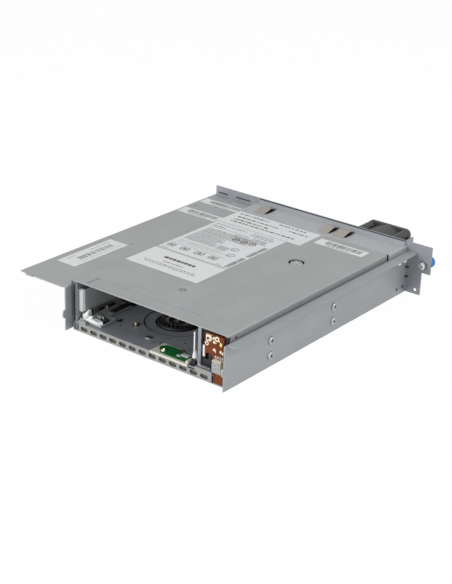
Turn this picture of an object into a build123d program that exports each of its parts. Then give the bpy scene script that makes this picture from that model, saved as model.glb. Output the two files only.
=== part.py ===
"""Half-height data tape drive on its library mounting tray, in millimetres.

The frame: +Z up, +Y towards the rear, +X to the right seen from the front.
The origin is the centre of the four threaded holes in the drive's underside,
on the bottom face.
"""
from build123d import *
import math
import os

# Drive body
body_width = 146.0
body_height = 40.6
body_length = 201.8
bottom_hole_edge = 3.15
hole_pitch_y = 79.25
first_hole = 46.5
screw_low = 9.9
screw_rise = 11.9
thread_hole_r = 1.25
sheet = 1.0
bend = 0.6
skirt_gap = 3.6
recess_depth = 0.5
recess_from_left = 11.0
recess_from_right = 34.0
recess_front = 2.5
recess_back = 15.8
dimple_x = 71.1
dimple_y = 41.4
dimple_r = 7.0
dimple_depth = 0.7
spindle_window_r = 6.4
access_hole_r = 1.1
access_hole_y = 8.8
access_hole_drop = 4.1
skirt_setback = 2.7

# Cast frame and its deck
frame_wall = 2.0
frame_gap = 0.3
deck_top = 7.5
deck_thickness = 1.2
side_boss_r = 3.6
foot_boss_length = 8.0
foot_boss_width = 5.2
foot_boss_height = 4.6
clutch_window_r = 17.6
clutch_step_r = 26.4
clutch_step = 0.4
deck_pad_x = 61.9
deck_pad_y = 14.5
deck_pad_r = 3.0
deck_pad_rise = 0.7

# Front lip of the bottom cover
lip_left = 6.3
lip_from_right = 12.8
vent_pitch = 9.55
vent_width = 7.0
vent_height = 3.2
vent_z = 3.7
first_vent = 11.9
lip_ear_width = 7.0
lip_ear_rise = 2.6
sill_low = 5.7
sill_step = 118.0
sill_rise = 1.5

# Mounting tray: side brackets, wing and rail
tray_sheet = 1.0
tray_side_gap = 1.4
bracket_front = -6.5
bracket_bottom = 0.9
rail_drop = 4.3
rail_width = 8.6
rail_front = -4.6
rail_chamfer = 2.6
wing_width = 45.6
wing_front = -7.4
wing_hook_from = 7.0
wing_hook_width = 7.0
wing_hook_length = 1.2
wing_dimple_r = 1.6
wing_dimple_depth = 0.3
wing_dimples = [(-45.4, 90.6), (-22.6, 90.9), (-43.1, 195.0)]
wing_hole_r = 1.0
wing_holes_x = -26.3
wing_holes_from_plate = (27.6, 8.9)
finger_tab_length = 2.6
finger_tab_low = 12.6
finger_tab_high = 19.2
left_tab_low = 11.0
left_tab_high = 17.4
screw_head_r = 3.1
screw_head = 1.4
bracket_hole_r = 1.6
tab_notches = (14.4, 22.4)
tab_notch_length = 2.2
tab_notch_height = 2.4

# Rear compartment of the tray
rear_room = 28.1
rear_cover_gap = 1.2
cover_seam = 0.15
rear_skirt = 18.6
rear_floor_rise = 9.0
rear_hole_z = 6.4
rear_hole_r = 1.45
rear_hole_back = (4.2, 12.8)
rivet_drop = 11.8
rivet_back = (3.7, 12.1)
rivet_head = 0.8
rivet_round = 0.5
plate_thickness = 1.2
plate_rise = 3.3
plate_left = -48.0
plate_beyond = 23.8
plate_foot_beyond = 15.9
plate_bottom = 1.3
plate_step_drop = 6.7
plate_rivet_r = 1.9
plate_hole_in = 4.5
plate_hole_z = 4.8
wing_slots = [(-44.8, -34.8), (-26.2, -10.6)]
wing_slot_rise = 1.4
wing_slot_height = 1.6
plate_tab_gap = 2.1
plate_tab_low = 28.8
plate_tab_high = 36.5
plate_tab_length = 27.0

# Grounding springs on the rear cover
spring_places = (12.0, 76.4, 91.4)
spring_width = 9.2
spring_length = 18.0
spring_rise = 3.0
spring_peak = 0.58
spring_bend = 1.5
spring_sheet = 0.4
spring_back = 5.0
spring_window_front = 2.4
spring_window_back = 1.8
spring_window_side = 0.9

# Rear fan
fan_from_right = 33.0
fan_drop = 1.0
fan_clear = 0.3
fan_rim = 1.1
fan_depth = 28.0
fan_corner = 4.5
fan_hub_r = 9.0
fan_tip_gap = 0.5
fan_blades = 7
fan_blade = 1.1
fan_twist = 38
fan_flange = 3.6
fan_hole_edge = 4.0
fan_post_r = 3.7
fan_hole_r = 1.75
fan_screw_head_r = 2.9
fan_shaft_r = 1.5
fan_strut = 1.8

# Ports and the board that carries them
port_gap = 0.4
data_port_size = (27.0, 11.0)
data_port_low = 8.4
network_port_size = (16.4, 13.6)
network_port_low = 7.6
port_board_sheet = 1.6
port_board_margin = 4.0

# Captive thumbscrews
knob_beyond = 17.2
knob_left_x = -41.4
knob_drop = 8.7
knob_r = 4.6
knob_length = 4.4
knob_round = 0.9
knob_collar = 0.8
knob_flutes = 12
flute_r = 0.4
screw_r = 3.0
screw_neck_r = 2.4
screw_neck = 0.6
screw_reach = 4.0
screw_nose = 0.8
ferrule_r = 3.7
ferrule_flange = 0.7
ferrule_length = 1.6
knob_travel = 2.1
washer = 0.6
run_clear = 0.05
part_gap = 0.3

# Cartridge bay
bay_left = 8.2
bay_length = 103.5
roof_drop = 7.6
guide_sheet = 1.0
guide_front = 4.0
guide_bottom = 15.8
guide_foot = 6.0
wall_from_right = 29.1
inner_wall_foot = 11.5
inner_wall_front = 3.4
inner_wall_lip = 2.6
reader_from_wall = 38.9
reader_width = 30.0
reader_depth = 13.0
reader_front = 1.2
reader_rim = 1.6
reader_rise = 0.3
reader_board_rise = 0.5
reader_board_sheet = 1.0
reader_cut = 6.5
reader_round = 6.0
reader_end = 3.0
feeler_from_wall = 3.8
feeler_y = 4.6
feeler_pin_r = 0.7
feeler_pin_rise = 2.8
locating_pin_r = 1.5
locating_pin_rise = 2.6
near_pin = (40.3, 25.1)
far_pin_from_wall = 19.9
far_pin_from_bay_end = 19.5

# Logic board under the deck
board_low = 3.0
board_sheet = 1.6
board_post_r = 2.4

# Reels and tape path
clutch_x = 60.0
clutch_y = 51.0
clutch_r = 16.2
clutch_teeth = 24
path_left = 67.0
reel_side_gap = 8.0
reel_front_gap = 1.2
reel_back_gap = 26.1
takeup_hub_r = 14.0
reel_flange = 1.2
tape_width = 13.2
tape_drop = 2.35
spindle_r = 2.5
motor_r = 15.5
motor_top = 4.4
roller_r = 5.0
roller_flange_r = 6.4
roller_pin_r = 1.2
roller_near_head = 16.0
roller_from_head = 34.0
roller_from_back = 15.8
head_x = 26.0
head_forward = 0.65
head_post_gap = 11.0
arm_pivot_x = 54.0
arm_pivot_back = 24.5
arm_length = 38.0
arm_width = 7.0
arm_thickness = 1.5
arm_rest_angle = 19.5

# Loader
carriage_travel = 26.0
carriage_left = 4.0
carriage_width = 21.0
carriage_front = 3.0
carriage_length = 44.0
carriage_thickness = 1.6
guide_slot_x = 13.6
guide_slot_width = 5.4
guide_slot_from = 27.5
latch_pivot_r = 1.6
latch_hub_r = 3.0
latch_height = 3.6
latch_tooth_top = 17.4
latch_tooth_front = 3.6
latch_tooth_sheet = 2.0
latch_barrel_r = 2.0
latch_barrel_length = 9.0
latch_arm_length = 9.5

# Front operator board
board_from_right = 2.6
board_width = 16.4
board_bottom = 2.3
board_drop = 2.2
board_thickness = 1.6
board_face = -1.6
lower_notch_width = 8.0
lower_notch_z = 9.4
side_notch_z = 20.5
side_notch_r = 3.2
mount_width = 5.0
display_width = 7.5
display_bottom = 12.2
display_height = 9.2
display_depth = 4.0
display_pin_count = 5
display_pin = 0.8
lamp_width = 1.6
lamp_height = 1.9
lamp_depth = 0.9
lamp_rows = (0.37, 0.706)
lamp_columns = (2.0, 7.9)
switch_in = 4.0
switch_drop = 2.8
switch_size = 4.4
switch_height = 1.6
plunger_r = 0.9
plunger_travel = 0.3

# Places that follow from the sizes
hole_pitch_x = body_width - 2 * bottom_hole_edge
cover_under = body_height - sheet
skirt_low = screw_low + screw_rise + side_boss_r + skirt_gap
rail_top = body_height - rail_drop
bay_roof = body_height - roof_drop
rivet_z = body_height - rivet_drop
plate_top = body_height + plate_rise
knob_z = rail_top - knob_drop
plate_step_z = knob_z - plate_step_drop
fan_z = (plate_bottom + plate_top) / 2 - fan_drop
fan_size = body_height - 2 * fan_clear
fan_duct_r = fan_size / 2 - fan_rim
fan_hole_pitch = fan_size - 2 * fan_hole_edge
fan_x = body_width - fan_from_right
knob_right_x = body_width + knob_beyond
plate_right = body_width + plate_beyond
plate_foot_right = body_width + plate_foot_beyond
lip_right = body_width - lip_from_right
vent_count = int((lip_right - first_vent - vent_width / 2) / vent_pitch) + 1
tray_length = body_length + rear_room
port_space = (fan_x - fan_size / 2 - data_port_size[0] - network_port_size[0]) / 3
data_port_x = port_space + data_port_size[0] / 2
network_port_x = 2 * port_space + data_port_size[0] + network_port_size[0] / 2
inner_wall_x = body_width - wall_from_right
reader_x = inner_wall_x - reader_from_wall
feeler_x = inner_wall_x - feeler_from_wall
board_right = body_width - board_from_right
board_left = board_right - board_width
board_top = body_height - board_drop
display_left = board_right - display_width + 0.5
display_top = display_bottom + display_height
switch_x = board_left + switch_in
switch_z = board_top - switch_drop
reel_across = body_width - path_left - reel_side_gap
reel_along = body_length - bay_length - reel_front_gap - reel_back_gap
takeup_r = min(reel_across, reel_along) / 2
takeup_x = body_width - reel_side_gap - takeup_r
takeup_y = bay_length + reel_front_gap + takeup_r
tape_low = (deck_top + cover_under - tape_width) / 2 - tape_drop
head_y = (bay_length + body_length) / 2 - head_forward
arm_pivot_y = bay_length + arm_pivot_back
roller_places = [(20.0, head_y - roller_from_head), (24.0, head_y - roller_near_head),
                 (24.0, head_y + roller_near_head), (42.0, body_length - roller_from_back)]
board_posts = [(30.0, 12.0), (30.0, bay_length + 1.5), (20.0, body_length - 11.8),
               (body_width - 28.0, 12.0), (body_width - 28.0, bay_length - 8.5),
               (body_width - 14.0, body_length - 11.8)]


def across(distance):
    """X of a point that far to the right of the drive body's left side."""
    return distance - body_width / 2


def behind(distance):
    """Y of a point that far behind the front edge of the drive's top cover."""
    return distance - first_hole - hole_pitch_y / 2


def block(x0, x1, y0, y1, z0, z1):
    """Box between two corners."""
    return Pos((x0 + x1) / 2, (y0 + y1) / 2, (z0 + z1) / 2) * Box(x1 - x0, y1 - y0, z1 - z0)


def rod_x(y, z, x0, x1, radius):
    """Round bar along X."""
    return Pos((x0 + x1) / 2, y, z) * Rot(0, 90, 0) * Cylinder(radius, x1 - x0)


def rod_y(x, z, y0, y1, radius):
    """Round bar along Y."""
    return Pos(x, (y0 + y1) / 2, z) * Rot(90, 0, 0) * Cylinder(radius, y1 - y0)


def rod_z(x, y, z0, z1, radius):
    """Round bar along Z."""
    return Pos(x, y, (z0 + z1) / 2) * Cylinder(radius, z1 - z0)


def tube_y(x, z, y0, y1, outer, inner):
    """Tube along Y."""
    return rod_y(x, z, y0, y1, outer) - rod_y(x, z, y0 - 1, y1 + 1, inner)


def tube_z(x, y, z0, z1, outer, inner):
    """Tube along Z."""
    return rod_z(x, y, z0, z1, outer) - rod_z(x, y, z0 - 1, z1 + 1, inner)


def all_of(shapes):
    """Separate solids kept together in one group."""
    return Compound(children=[solid for shape in shapes for solid in shape.solids()])


def bent_section(points, thickness, radius):
    """Section of a bent sheet. The points follow one face, with the metal on their left."""
    vectors = [Vector(*point) for point in points]
    runs = [(b - a).normalized() for a, b in zip(vectors, vectors[1:])]
    lefts = [Vector(-run.Y, run.X) for run in runs]
    near, far, others = [], [], [vectors[0] + lefts[0] * thickness]
    for corner, before, after in zip(vectors[1:], lefts, lefts[1:]):
        middle = (before + after).normalized()
        others.append(corner + middle * (thickness / middle.dot(before)))
        left_turn = before.X * after.Y - before.Y * after.X > 0
        near.append(radius + thickness if left_turn else radius)
        far.append(radius if left_turn else radius + thickness)
    others.append(vectors[-1] + lefts[-1] * thickness)
    face_line = FilletPolyline(*vectors, radius=near)
    back_line = FilletPolyline(*others, radius=far)
    ends = [Line(vectors[-1], others[-1]), Line(others[0], vectors[0])]
    return make_face(face_line.edges() + back_line.edges() + [end.edge() for end in ends])


def run_y(section, y0, y1):
    """A section drawn in X and Z, run from y0 to y1."""
    return Pos(0, y1, 0) * extrude(Plane.XZ * section, amount=y1 - y0)


def run_x(section, x0, x1):
    """A section drawn in Y and Z, run from x0 to x1."""
    return Pos(x0, 0, 0) * extrude(Plane.YZ * section, amount=x1 - x0)


def oblong_y(x, z, y0, y1, width, height):
    """Round-ended bar along Y, wide in X."""
    return Pos(x, y1, z) * extrude(Plane.XZ * SlotOverall(width, height), amount=y1 - y0)


# Places that several pieces share
side = body_width / 2
frame_outer = side - sheet - frame_gap
frame_inner = frame_outer - frame_wall
deck_under = deck_top - deck_thickness
bracket_in = side + tray_side_gap
bracket_out = bracket_in + tray_sheet
side_holes = [(y, z) for y in (-hole_pitch_y / 2, hole_pitch_y / 2)
              for z in (screw_low, screw_low + screw_rise)]
plate_front = behind(tray_length)
plate_back = plate_front + plate_thickness
rear_cover_front = behind(body_length + rear_cover_gap)
clutch = (across(clutch_x), behind(clutch_y))
takeup = (across(takeup_x), behind(takeup_y))
fan_center = across(fan_x)
roller_pins = [(across(x), behind(y)) for x, y in roller_places]
reel_low = tape_low - reel_flange - part_gap
reel_high = tape_low + tape_width + reel_flange + part_gap
roller_low = tape_low - 1.0
roller_high = tape_low + tape_width + 1.0
roller_pin_top = roller_high + part_gap + 1.0
arm_low = roller_pin_top + 2.0
arm_pivot = (across(arm_pivot_x), behind(arm_pivot_y))
head_place = (across(head_x), behind(head_y))


def top_cover():
    """Folded steel top: stepped recess at the front edge, dimple and the spindle window."""
    points = [(side, skirt_low), (side, body_height), (-side, body_height), (-side, skirt_low)]
    section = bent_section(points, sheet, frame_gap)
    cover = run_y(section, behind(0), behind(body_length))
    x0, x1 = across(recess_from_left), across(body_width - recess_from_right)
    y0, y1 = behind(recess_front), behind(recess_back)
    inset = sheet
    cover += block(x0, x1, y0, y1, cover_under - recess_depth, cover_under)
    cover -= block(x0 + inset, x1 - inset, y0 - sheet, y1 - inset,
                   body_height - recess_depth, body_height + 1)
    x, y = across(dimple_x), behind(dimple_y)
    cover += Pos(x, y, cover_under - dimple_depth / 2) * Cone(dimple_r - sheet, dimple_r, dimple_depth)
    dish = Pos(x, y, body_height - dimple_depth / 2) * Cone(dimple_r * 0.45, dimple_r, dimple_depth)
    cover -= dish
    cover -= rod_z(*takeup, cover_under - 1, body_height + 1, spindle_window_r)
    for end in (-1, 1):
        x0, x1 = sorted((end * (side - sheet - frame_gap), end * (side + 1)))
        cover -= block(x0, x1, behind(-1), behind(skirt_setback), skirt_low - 1, cover_under - frame_gap)
        z = body_height - access_hole_drop
        x0, x1 = end * side - 2 * sheet, end * side + 2 * sheet
        cover -= rod_x(behind(access_hole_y), z, x0, x1, access_hole_r)
    return cover


def bottom_cover():
    """Steel floor with low sides, the vented front lip and four tapped holes."""
    low_side = screw_low - side_boss_r - part_gap
    section = bent_section([(-side, low_side), (-side, 0), (side, 0), (side, low_side)], sheet, frame_gap)
    cover = run_y(section, behind(0), behind(body_length))
    lip_points = [(behind(recess_back), 0), (behind(-sheet), 0), (behind(-sheet), deck_top)]
    lip = run_x(bent_section(lip_points[::-1], sheet, bend), across(lip_left), across(lip_right))
    cover += lip
    ear = across(lip_left)
    cover += block(ear, ear + lip_ear_width, behind(-sheet), behind(0),
                   deck_top - sheet, deck_top + lip_ear_rise)
    x_low = reader_place()[0] - part_gap
    cover -= block(x_low, across(sill_step), behind(-2 * sheet), behind(0), sill_low, deck_top + 1)
    cover += block(across(sill_step), across(lip_right), behind(-sheet), behind(0),
                   deck_top - sheet, deck_top + sill_rise)
    for number in range(vent_count):
        x = across(first_vent + number * vent_pitch)
        cover -= oblong_y(x, vent_z, behind(-2 * sheet), behind(sheet), vent_width, vent_height)
    for x in (-hole_pitch_x / 2, hole_pitch_x / 2):
        for y in (-hole_pitch_y / 2, hole_pitch_y / 2):
            cover -= rod_z(x, y, -1, sheet + 1, thread_hole_r)
    return cover


def main_frame():
    """Cast frame: deck, side walls, tapped side bosses, reel windows and the loader's guide slot."""
    y0, y1 = behind(0), behind(body_length) - sheet
    frame = block(-frame_outer, frame_outer, y0, y1, deck_under, deck_top)
    for end in (-1, 1):
        x0, x1 = sorted((end * frame_inner, end * frame_outer))
        frame += block(x0, x1, y0 + sheet, y1, sheet, cover_under)
        for y in (-hole_pitch_y / 2, hole_pitch_y / 2):
            x0, x1 = sorted((end * frame_outer, end * (frame_outer - foot_boss_width)))
            y_from, y_to = y - foot_boss_length / 2, y + foot_boss_length / 2
            frame += block(x0, x1, y_from, y_to, sheet, sheet + foot_boss_height)
        for y, z in side_holes:
            x0, x1 = sorted((end * frame_inner, end * bracket_in))
            frame += rod_x(y, z, x0, x1, side_boss_r)
    frame += block(-frame_inner, frame_inner, y1 - frame_wall, y1, sheet, cover_under)
    for end in (-1, 1):
        for y, z in side_holes:
            x0, x1 = sorted((end * (frame_inner - 1), end * (bracket_in + 1)))
            frame -= rod_x(y, z, x0, x1, thread_hole_r)
        for y in (-hole_pitch_y / 2, hole_pitch_y / 2):
            frame -= rod_z(end * hole_pitch_x / 2, y, 0, sheet + foot_boss_height + 1, thread_hole_r)
    frame -= rod_z(*clutch, deck_under - 1, deck_top + 1, clutch_window_r)
    frame -= rod_z(*clutch, deck_top - clutch_step, deck_top + 1, clutch_step_r)
    pad = (across(deck_pad_x), behind(deck_pad_y))
    frame += Pos(*pad, deck_top + deck_pad_rise / 2) * Cone(deck_pad_r, deck_pad_r * 0.75, deck_pad_rise)
    frame -= rod_z(*pad, deck_top, deck_top + deck_pad_rise + 1, deck_pad_r * 0.4)
    frame -= rod_z(*takeup, deck_under - 1, deck_top + 1, clutch_window_r)
    x0, x1, y0, y1 = reader_place()
    frame -= block(x0, x1, y0 - 1, y1, deck_under - 1, deck_top + 1)
    x = across(guide_slot_x)
    y0, y1 = guide_slot_ends()
    frame -= block(x - guide_slot_width / 2, x + guide_slot_width / 2, y0, y1, deck_under - 1, deck_top + 1)
    frame -= rod_z(x, y0, deck_under - 1, deck_top + 1, guide_slot_width / 2)
    frame -= rod_z(x, y1, deck_under - 1, deck_top + 1, guide_slot_width / 2)
    return frame


def reader_place():
    """Left, right, front and back of the window in the deck that holds the reader."""
    return (across(reader_x - reader_rim), across(reader_x + reader_width + reader_end),
            behind(0.0), behind(reader_front + reader_depth + 1.0))


def guide_slot_ends():
    """Y of the centres of the guide slot's two round ends."""
    return behind(guide_slot_from), carriage_pins()[-1] + carriage_travel + part_gap


def carriage_pins():
    """Y of the carriage's two guide pins."""
    return behind(guide_slot_from) + part_gap, behind(carriage_front + carriage_length - 4.0)


def right_bracket():
    """Right side of the tray: drilled wall, outward rail, front finger tab and rear flange slots."""
    points = [(bracket_in + tray_sheet, bracket_bottom), (bracket_out, rail_top - tray_sheet),
              (bracket_out + rail_width, rail_top - tray_sheet)]
    bracket = run_y(bent_section(points, tray_sheet, bend), behind(bracket_front), plate_front)
    corner_y = behind(rail_front)
    outer = bracket_out + rail_width
    bracket -= block(bracket_out + bend, outer + 1, behind(bracket_front) - 1, corner_y,
                     rail_top - 3, rail_top + 1)
    cut = rail_chamfer * 2 ** 0.5
    cutter = Pos(outer, corner_y, rail_top) * Rot(0, 0, 45) * Box(cut, cut, 8)
    bracket -= cutter
    return bracket + finger_tab(bracket_in, finger_tab_low, finger_tab_high)


def finger_tab(x_inner, low, high):
    """Rounded tab that stands out of a bracket's front edge."""
    radius = min(finger_tab_length, (high - low) / 2)
    y0, y1 = behind(bracket_front) - finger_tab_length, behind(bracket_front)
    tab = block(x_inner, x_inner + tray_sheet, y0, y1 + 0.5, low, high)
    edges = tab.edges().filter_by(Axis.X).group_by(Axis.Y)[0]
    return fillet(edges, radius * 0.8)


def drill_bracket(bracket, end):
    """Screw and rivet holes through a bracket's wall."""
    x0, x1 = sorted((end * (bracket_in - 1), end * (bracket_out + 1)))
    for y, z in side_holes:
        bracket -= rod_x(y, z, x0, x1, bracket_hole_r)
    for y, z in rivet_places():
        bracket -= rod_x(y, z, x0, x1, plate_rivet_r * 0.6)
    for y in rear_hole_places():
        bracket -= rod_x(y, rear_hole_z, x0, x1, rear_hole_r)
    for z in tab_notches:
        bracket -= block(x0, x1, plate_front - tab_notch_length, plate_front + 1,
                         z - tab_notch_height / 2, z + tab_notch_height / 2)
    return bracket


def rivet_places():
    """Y and Z of the rivets that hold the rear cover's skirt to a bracket."""
    return [(plate_front - back, rivet_z) for back in rivet_back]


def rear_hole_places():
    """Y of the two spare holes below the rivets."""
    return [plate_front - back for back in rear_hole_back]


def left_bracket():
    """Left side of the tray: drilled wall with the wide wing folded out of its top."""
    points = [(-bracket_out - wing_width, rail_top - tray_sheet), (-bracket_out, rail_top - tray_sheet),
              (-bracket_out, bracket_bottom)]
    bracket = run_y(bent_section(points, tray_sheet, bend), behind(bracket_front), plate_front)
    hook = wing_hook_from - bracket_out - wing_width
    bracket += block(hook, -bracket_out - bend - tray_sheet, behind(wing_front),
                     behind(bracket_front), rail_top - tray_sheet, rail_top)
    bracket += block(hook, hook + wing_hook_width, behind(wing_front) - wing_hook_length,
                     behind(wing_front), rail_top - tray_sheet, rail_top)
    for x, y in wing_dimples:
        cutter = Cone(wing_dimple_r * 0.6, wing_dimple_r, wing_dimple_depth)
        bracket -= Pos(across(x), behind(y), rail_top - wing_dimple_depth / 2) * cutter
    for back in wing_holes_from_plate:
        bracket -= rod_z(across(wing_holes_x), plate_front - back, rail_top - 2, rail_top + 1, wing_hole_r)
    return bracket + finger_tab(-bracket_out, left_tab_low, left_tab_high)


def rear_plate():
    """Rear plate with its notched right foot, fan window, port windows and thumbscrew holes."""
    outline = [(across(plate_left), plate_step_z), (across(plate_left), plate_top),
               (across(plate_right), plate_top),
               (across(plate_right), plate_step_z), (across(plate_foot_right), plate_step_z),
               (across(plate_foot_right), plate_bottom), (-bracket_out - 2.0, plate_bottom),
               (-bracket_out - 2.0, plate_step_z)]
    plate = run_y(make_face(Polyline(*outline, close=True)), plate_front, plate_back)
    plate -= rod_y(fan_center, fan_z, plate_front - 1, plate_back + 1, fan_duct_r)
    for x, z in fan_holes():
        plate -= rod_y(x, z, plate_front - 1, plate_back + 1, fan_hole_r)
    for x in (knob_right_x, knob_left_x):
        plate -= rod_y(across(x), knob_z, plate_front - 1, plate_back + 1, ferrule_r)
    for window in (data_window(port_gap), network_window(port_gap)):
        x0, x1, z0, z1 = window
        plate -= block(x0, x1, plate_front - 1, plate_back + 1, z0, z1)
    foot_hole = across(plate_foot_right - plate_hole_in)
    plate -= rod_y(foot_hole, plate_hole_z, plate_front - 1, plate_back + 1, rear_hole_r)
    slot_low = rail_top + wing_slot_rise
    for x0, x1 in wing_slots:
        plate -= block(across(x0), across(x1), plate_front - 1, plate_back + 1,
                       slot_low, slot_low + wing_slot_height)
    tab = fan_center + fan_size / 2 + plate_tab_gap
    plate += block(tab, tab + plate_thickness, plate_front, plate_back + plate_tab_length,
                   plate_tab_low, plate_tab_high)
    return plate


def port_window(center, low, size, gap):
    """X and Z limits of a port's window, widened by a gap."""
    x = across(center)
    return x - size[0] / 2 - gap, x + size[0] / 2 + gap, low - gap, low + size[1] + gap


def data_window(gap):
    """X and Z limits of the data port's window."""
    return port_window(data_port_x, data_port_low, data_port_size, gap)


def network_window(gap):
    """X and Z limits of the network port's window."""
    return port_window(network_port_x, network_port_low, network_port_size, gap)


def fan_holes():
    """X and Z of the fan's four corner holes."""
    step = fan_hole_pitch / 2
    return [(fan_center + i * step, fan_z + k * step) for i in (-1, 1) for k in (-1, 1)]


def rear_cover():
    """Steel cover over the tray's rear compartment, with skirts riveted inside the brackets."""
    drop = body_height - rear_skirt
    points = [(bracket_in, drop), (bracket_in, body_height), (-bracket_in, body_height), (-bracket_in, drop)]
    cover = run_y(bent_section(points, tray_sheet, bend), rear_cover_front, plate_front)
    tongue = side - bend
    cover += block(-tongue, tongue, behind(body_length + cover_seam), rear_cover_front + 1,
                   cover_under, body_height)
    y0, y1 = spring_ends()
    for place in spring_places:
        x0, x1 = across(place) - spring_window_side, across(place) + spring_width + spring_window_side
        cover -= block(x0, x1, y0 + spring_window_front, y1 - spring_window_back,
                       cover_under - 1, body_height + 1)
    for end in (-1, 1):
        for y, z in rivet_places():
            x0, x1 = sorted((end * (bracket_in - 2 * tray_sheet), end * (bracket_in + 1)))
            cover -= rod_x(y, z, x0, x1, plate_rivet_r * 0.6)
    return cover


def spring_ends():
    """Y of the front and back ends of the grounding springs."""
    return plate_front - spring_back - spring_length, plate_front - spring_back


def rear_floor():
    """Floor of the rear compartment with its sides against the brackets."""
    high = bracket_bottom + rear_floor_rise
    points = [(-bracket_in, high), (-bracket_in, bracket_bottom),
              (bracket_in, bracket_bottom), (bracket_in, high)]
    floor = run_y(bent_section(points, tray_sheet, bend), rear_cover_front, plate_front)
    for end in (-1, 1):
        for y in rear_hole_places():
            x0, x1 = sorted((end * (bracket_in - 2 * tray_sheet), end * (bracket_in + 1)))
            floor -= rod_x(y, rear_hole_z, x0, x1, rear_hole_r)
    return floor


def grounding_springs():
    """Bent contact fingers over windows in the rear cover: a long rise, then a steeper fall."""
    y0, y1 = spring_ends()
    peak = y0 + spring_length * spring_peak
    low, high = body_height, body_height + spring_rise - spring_sheet
    front_slope, back_slope = (high - low) / (peak - y0), (high - low) / (y1 - peak)
    points = [(y0 - 1, low - front_slope), (peak, high), (y1 + 1, low - back_slope)]
    section = bent_section(points, spring_sheet, spring_bend)
    fingers = []
    for place in spring_places:
        x0 = across(place)
        finger = run_x(section, x0, x0 + spring_width)
        fingers.append(finger & block(x0 - 1, x0 + spring_width + 1, y0 - 2, y1 + 2, low, high + 2))
    return all_of(fingers)


def side_screws(end):
    """Four pan-head screws that hold the drive to one bracket."""
    screws = []
    for y, z in side_holes:
        x0, x1 = sorted((end * bracket_out, end * (bracket_out + screw_head)))
        head = rod_x(y, z, x0, x1, screw_head_r)
        rim = head.edges().group_by(Axis.X)[-1 if end > 0 else 0]
        head = fillet(rim, screw_head * 0.55)
        x0, x1 = sorted((end * (frame_inner + 0.4), end * bracket_out))
        screws.append(head + rod_x(y, z, x0, x1, thread_hole_r - 0.01))
    return all_of(screws)


def tray_rivets():
    """Rivets through each bracket and the rear cover's skirt."""
    rivets = []
    for end in (-1, 1):
        for y, z in rivet_places():
            x0, x1 = sorted((end * (bracket_in - tray_sheet), end * bracket_out))
            shank = rod_x(y, z, x0, x1, plate_rivet_r * 0.6)
            x0, x1 = sorted((end * bracket_out, end * (bracket_out + rivet_head)))
            head = rod_x(y, z, x0, x1, plate_rivet_r)
            head = fillet(head.edges().group_by(Axis.X)[-1 if end > 0 else 0], rivet_round)
            x0, x1 = sorted((end * (bracket_in - tray_sheet), end * (bracket_in - tray_sheet - rivet_head)))
            rivets.append(head + shank + rod_x(y, z, x0, x1, plate_rivet_r))
    return all_of(rivets)


def fan_frame():
    """Square fan housing: two flanges joined by a round duct, with a strutted motor mount."""
    y0, y1 = plate_back, plate_back + fan_depth
    half = fan_size / 2
    shell = block(fan_center - half, fan_center + half, y0, y1, fan_z - half, fan_z + half)
    shell = fillet(shell.edges().filter_by(Axis.Y), fan_corner)
    ring = block(fan_center - half - 1, fan_center + half + 1, y0 + fan_flange, y1 - fan_flange,
                 fan_z - half - 1, fan_z + half + 1)
    kept = rod_y(fan_center, fan_z, y0, y1, half)
    for x, z in fan_holes():
        kept += rod_y(x, z, y0, y1, fan_post_r)
    shell -= ring - kept
    shell -= rod_y(fan_center, fan_z, y0 - 1, y1 + 1, fan_duct_r)
    for x, z in fan_holes():
        shell -= rod_y(x, z, y0 - 1, y1 + 1, fan_hole_r)
    base0, base1 = y1 - fan_flange, y1
    shell += rod_y(fan_center, fan_z, base0, base1, fan_hub_r)
    for number in range(4):
        turn = 25 + number * 90
        strut = Box(fan_strut, base1 - base0, fan_duct_r - fan_hub_r + 1.0)
        strut = Pos(0, 0, (fan_hub_r + fan_duct_r) / 2) * strut
        shell += Pos(fan_center, (base0 + base1) / 2, fan_z) * Rot(0, turn, 0) * strut
    return shell - rod_y(fan_center, fan_z, base0 - 1, base1 - 1.0, fan_shaft_r + run_clear)


def fan_rotor():
    """Hub, twisted blades and the short shaft that runs in the motor mount."""
    y0, y1 = plate_back + 2.0, plate_back + fan_depth - fan_flange - part_gap
    rotor = rod_y(fan_center, fan_z, y0, y1, fan_hub_r)
    rotor = chamfer(rotor.edges().group_by(Axis.Y)[0], 1.2)
    tip = fan_duct_r - fan_tip_gap
    middle = (y0 + y1) / 2
    keep = tube_y(fan_center, fan_z, y0 + 0.8, y1 - 1.0, tip, fan_hub_r - 0.6)
    for number in range(fan_blades):
        turn = number * 360 / fan_blades
        blade = Rot(0, 0, fan_twist) * Box(fan_blade, y1 - y0 + 6, tip - fan_hub_r + 2)
        blade = Pos(0, 0, (fan_hub_r + tip) / 2) * blade
        rotor += (Pos(fan_center, middle, fan_z) * Rot(0, turn, 0) * blade) & keep
    return rotor + rod_y(fan_center, fan_z, y1 - 0.5, y1 + 2.2, fan_shaft_r)


def fan_screws():
    """Long screws through the fan's corners into the rear plate."""
    screws = []
    y1 = plate_back + fan_depth
    for x, z in fan_holes():
        head = rod_y(x, z, y1, y1 + 1.5, fan_screw_head_r)
        head = fillet(head.edges().group_by(Axis.Y)[-1], 0.8)
        screws.append(head + rod_y(x, z, plate_front, y1, fan_hole_r - 0.01))
    return all_of(screws)


def screw_ferrule(x):
    """Flanged steel sleeve pressed into the rear plate."""
    bore = screw_neck_r + run_clear
    sleeve = rod_y(x, knob_z, plate_front, plate_back + ferrule_length, ferrule_r - 0.01)
    sleeve += rod_y(x, knob_z, plate_back, plate_back + ferrule_flange, ferrule_r + ferrule_flange)
    return sleeve - rod_y(x, knob_z, plate_front - 1, plate_back + ferrule_length + 1, bore)


def washer_front():
    """Y of the front face of a thumbscrew's washer."""
    return plate_back + ferrule_length + part_gap + knob_travel


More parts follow.
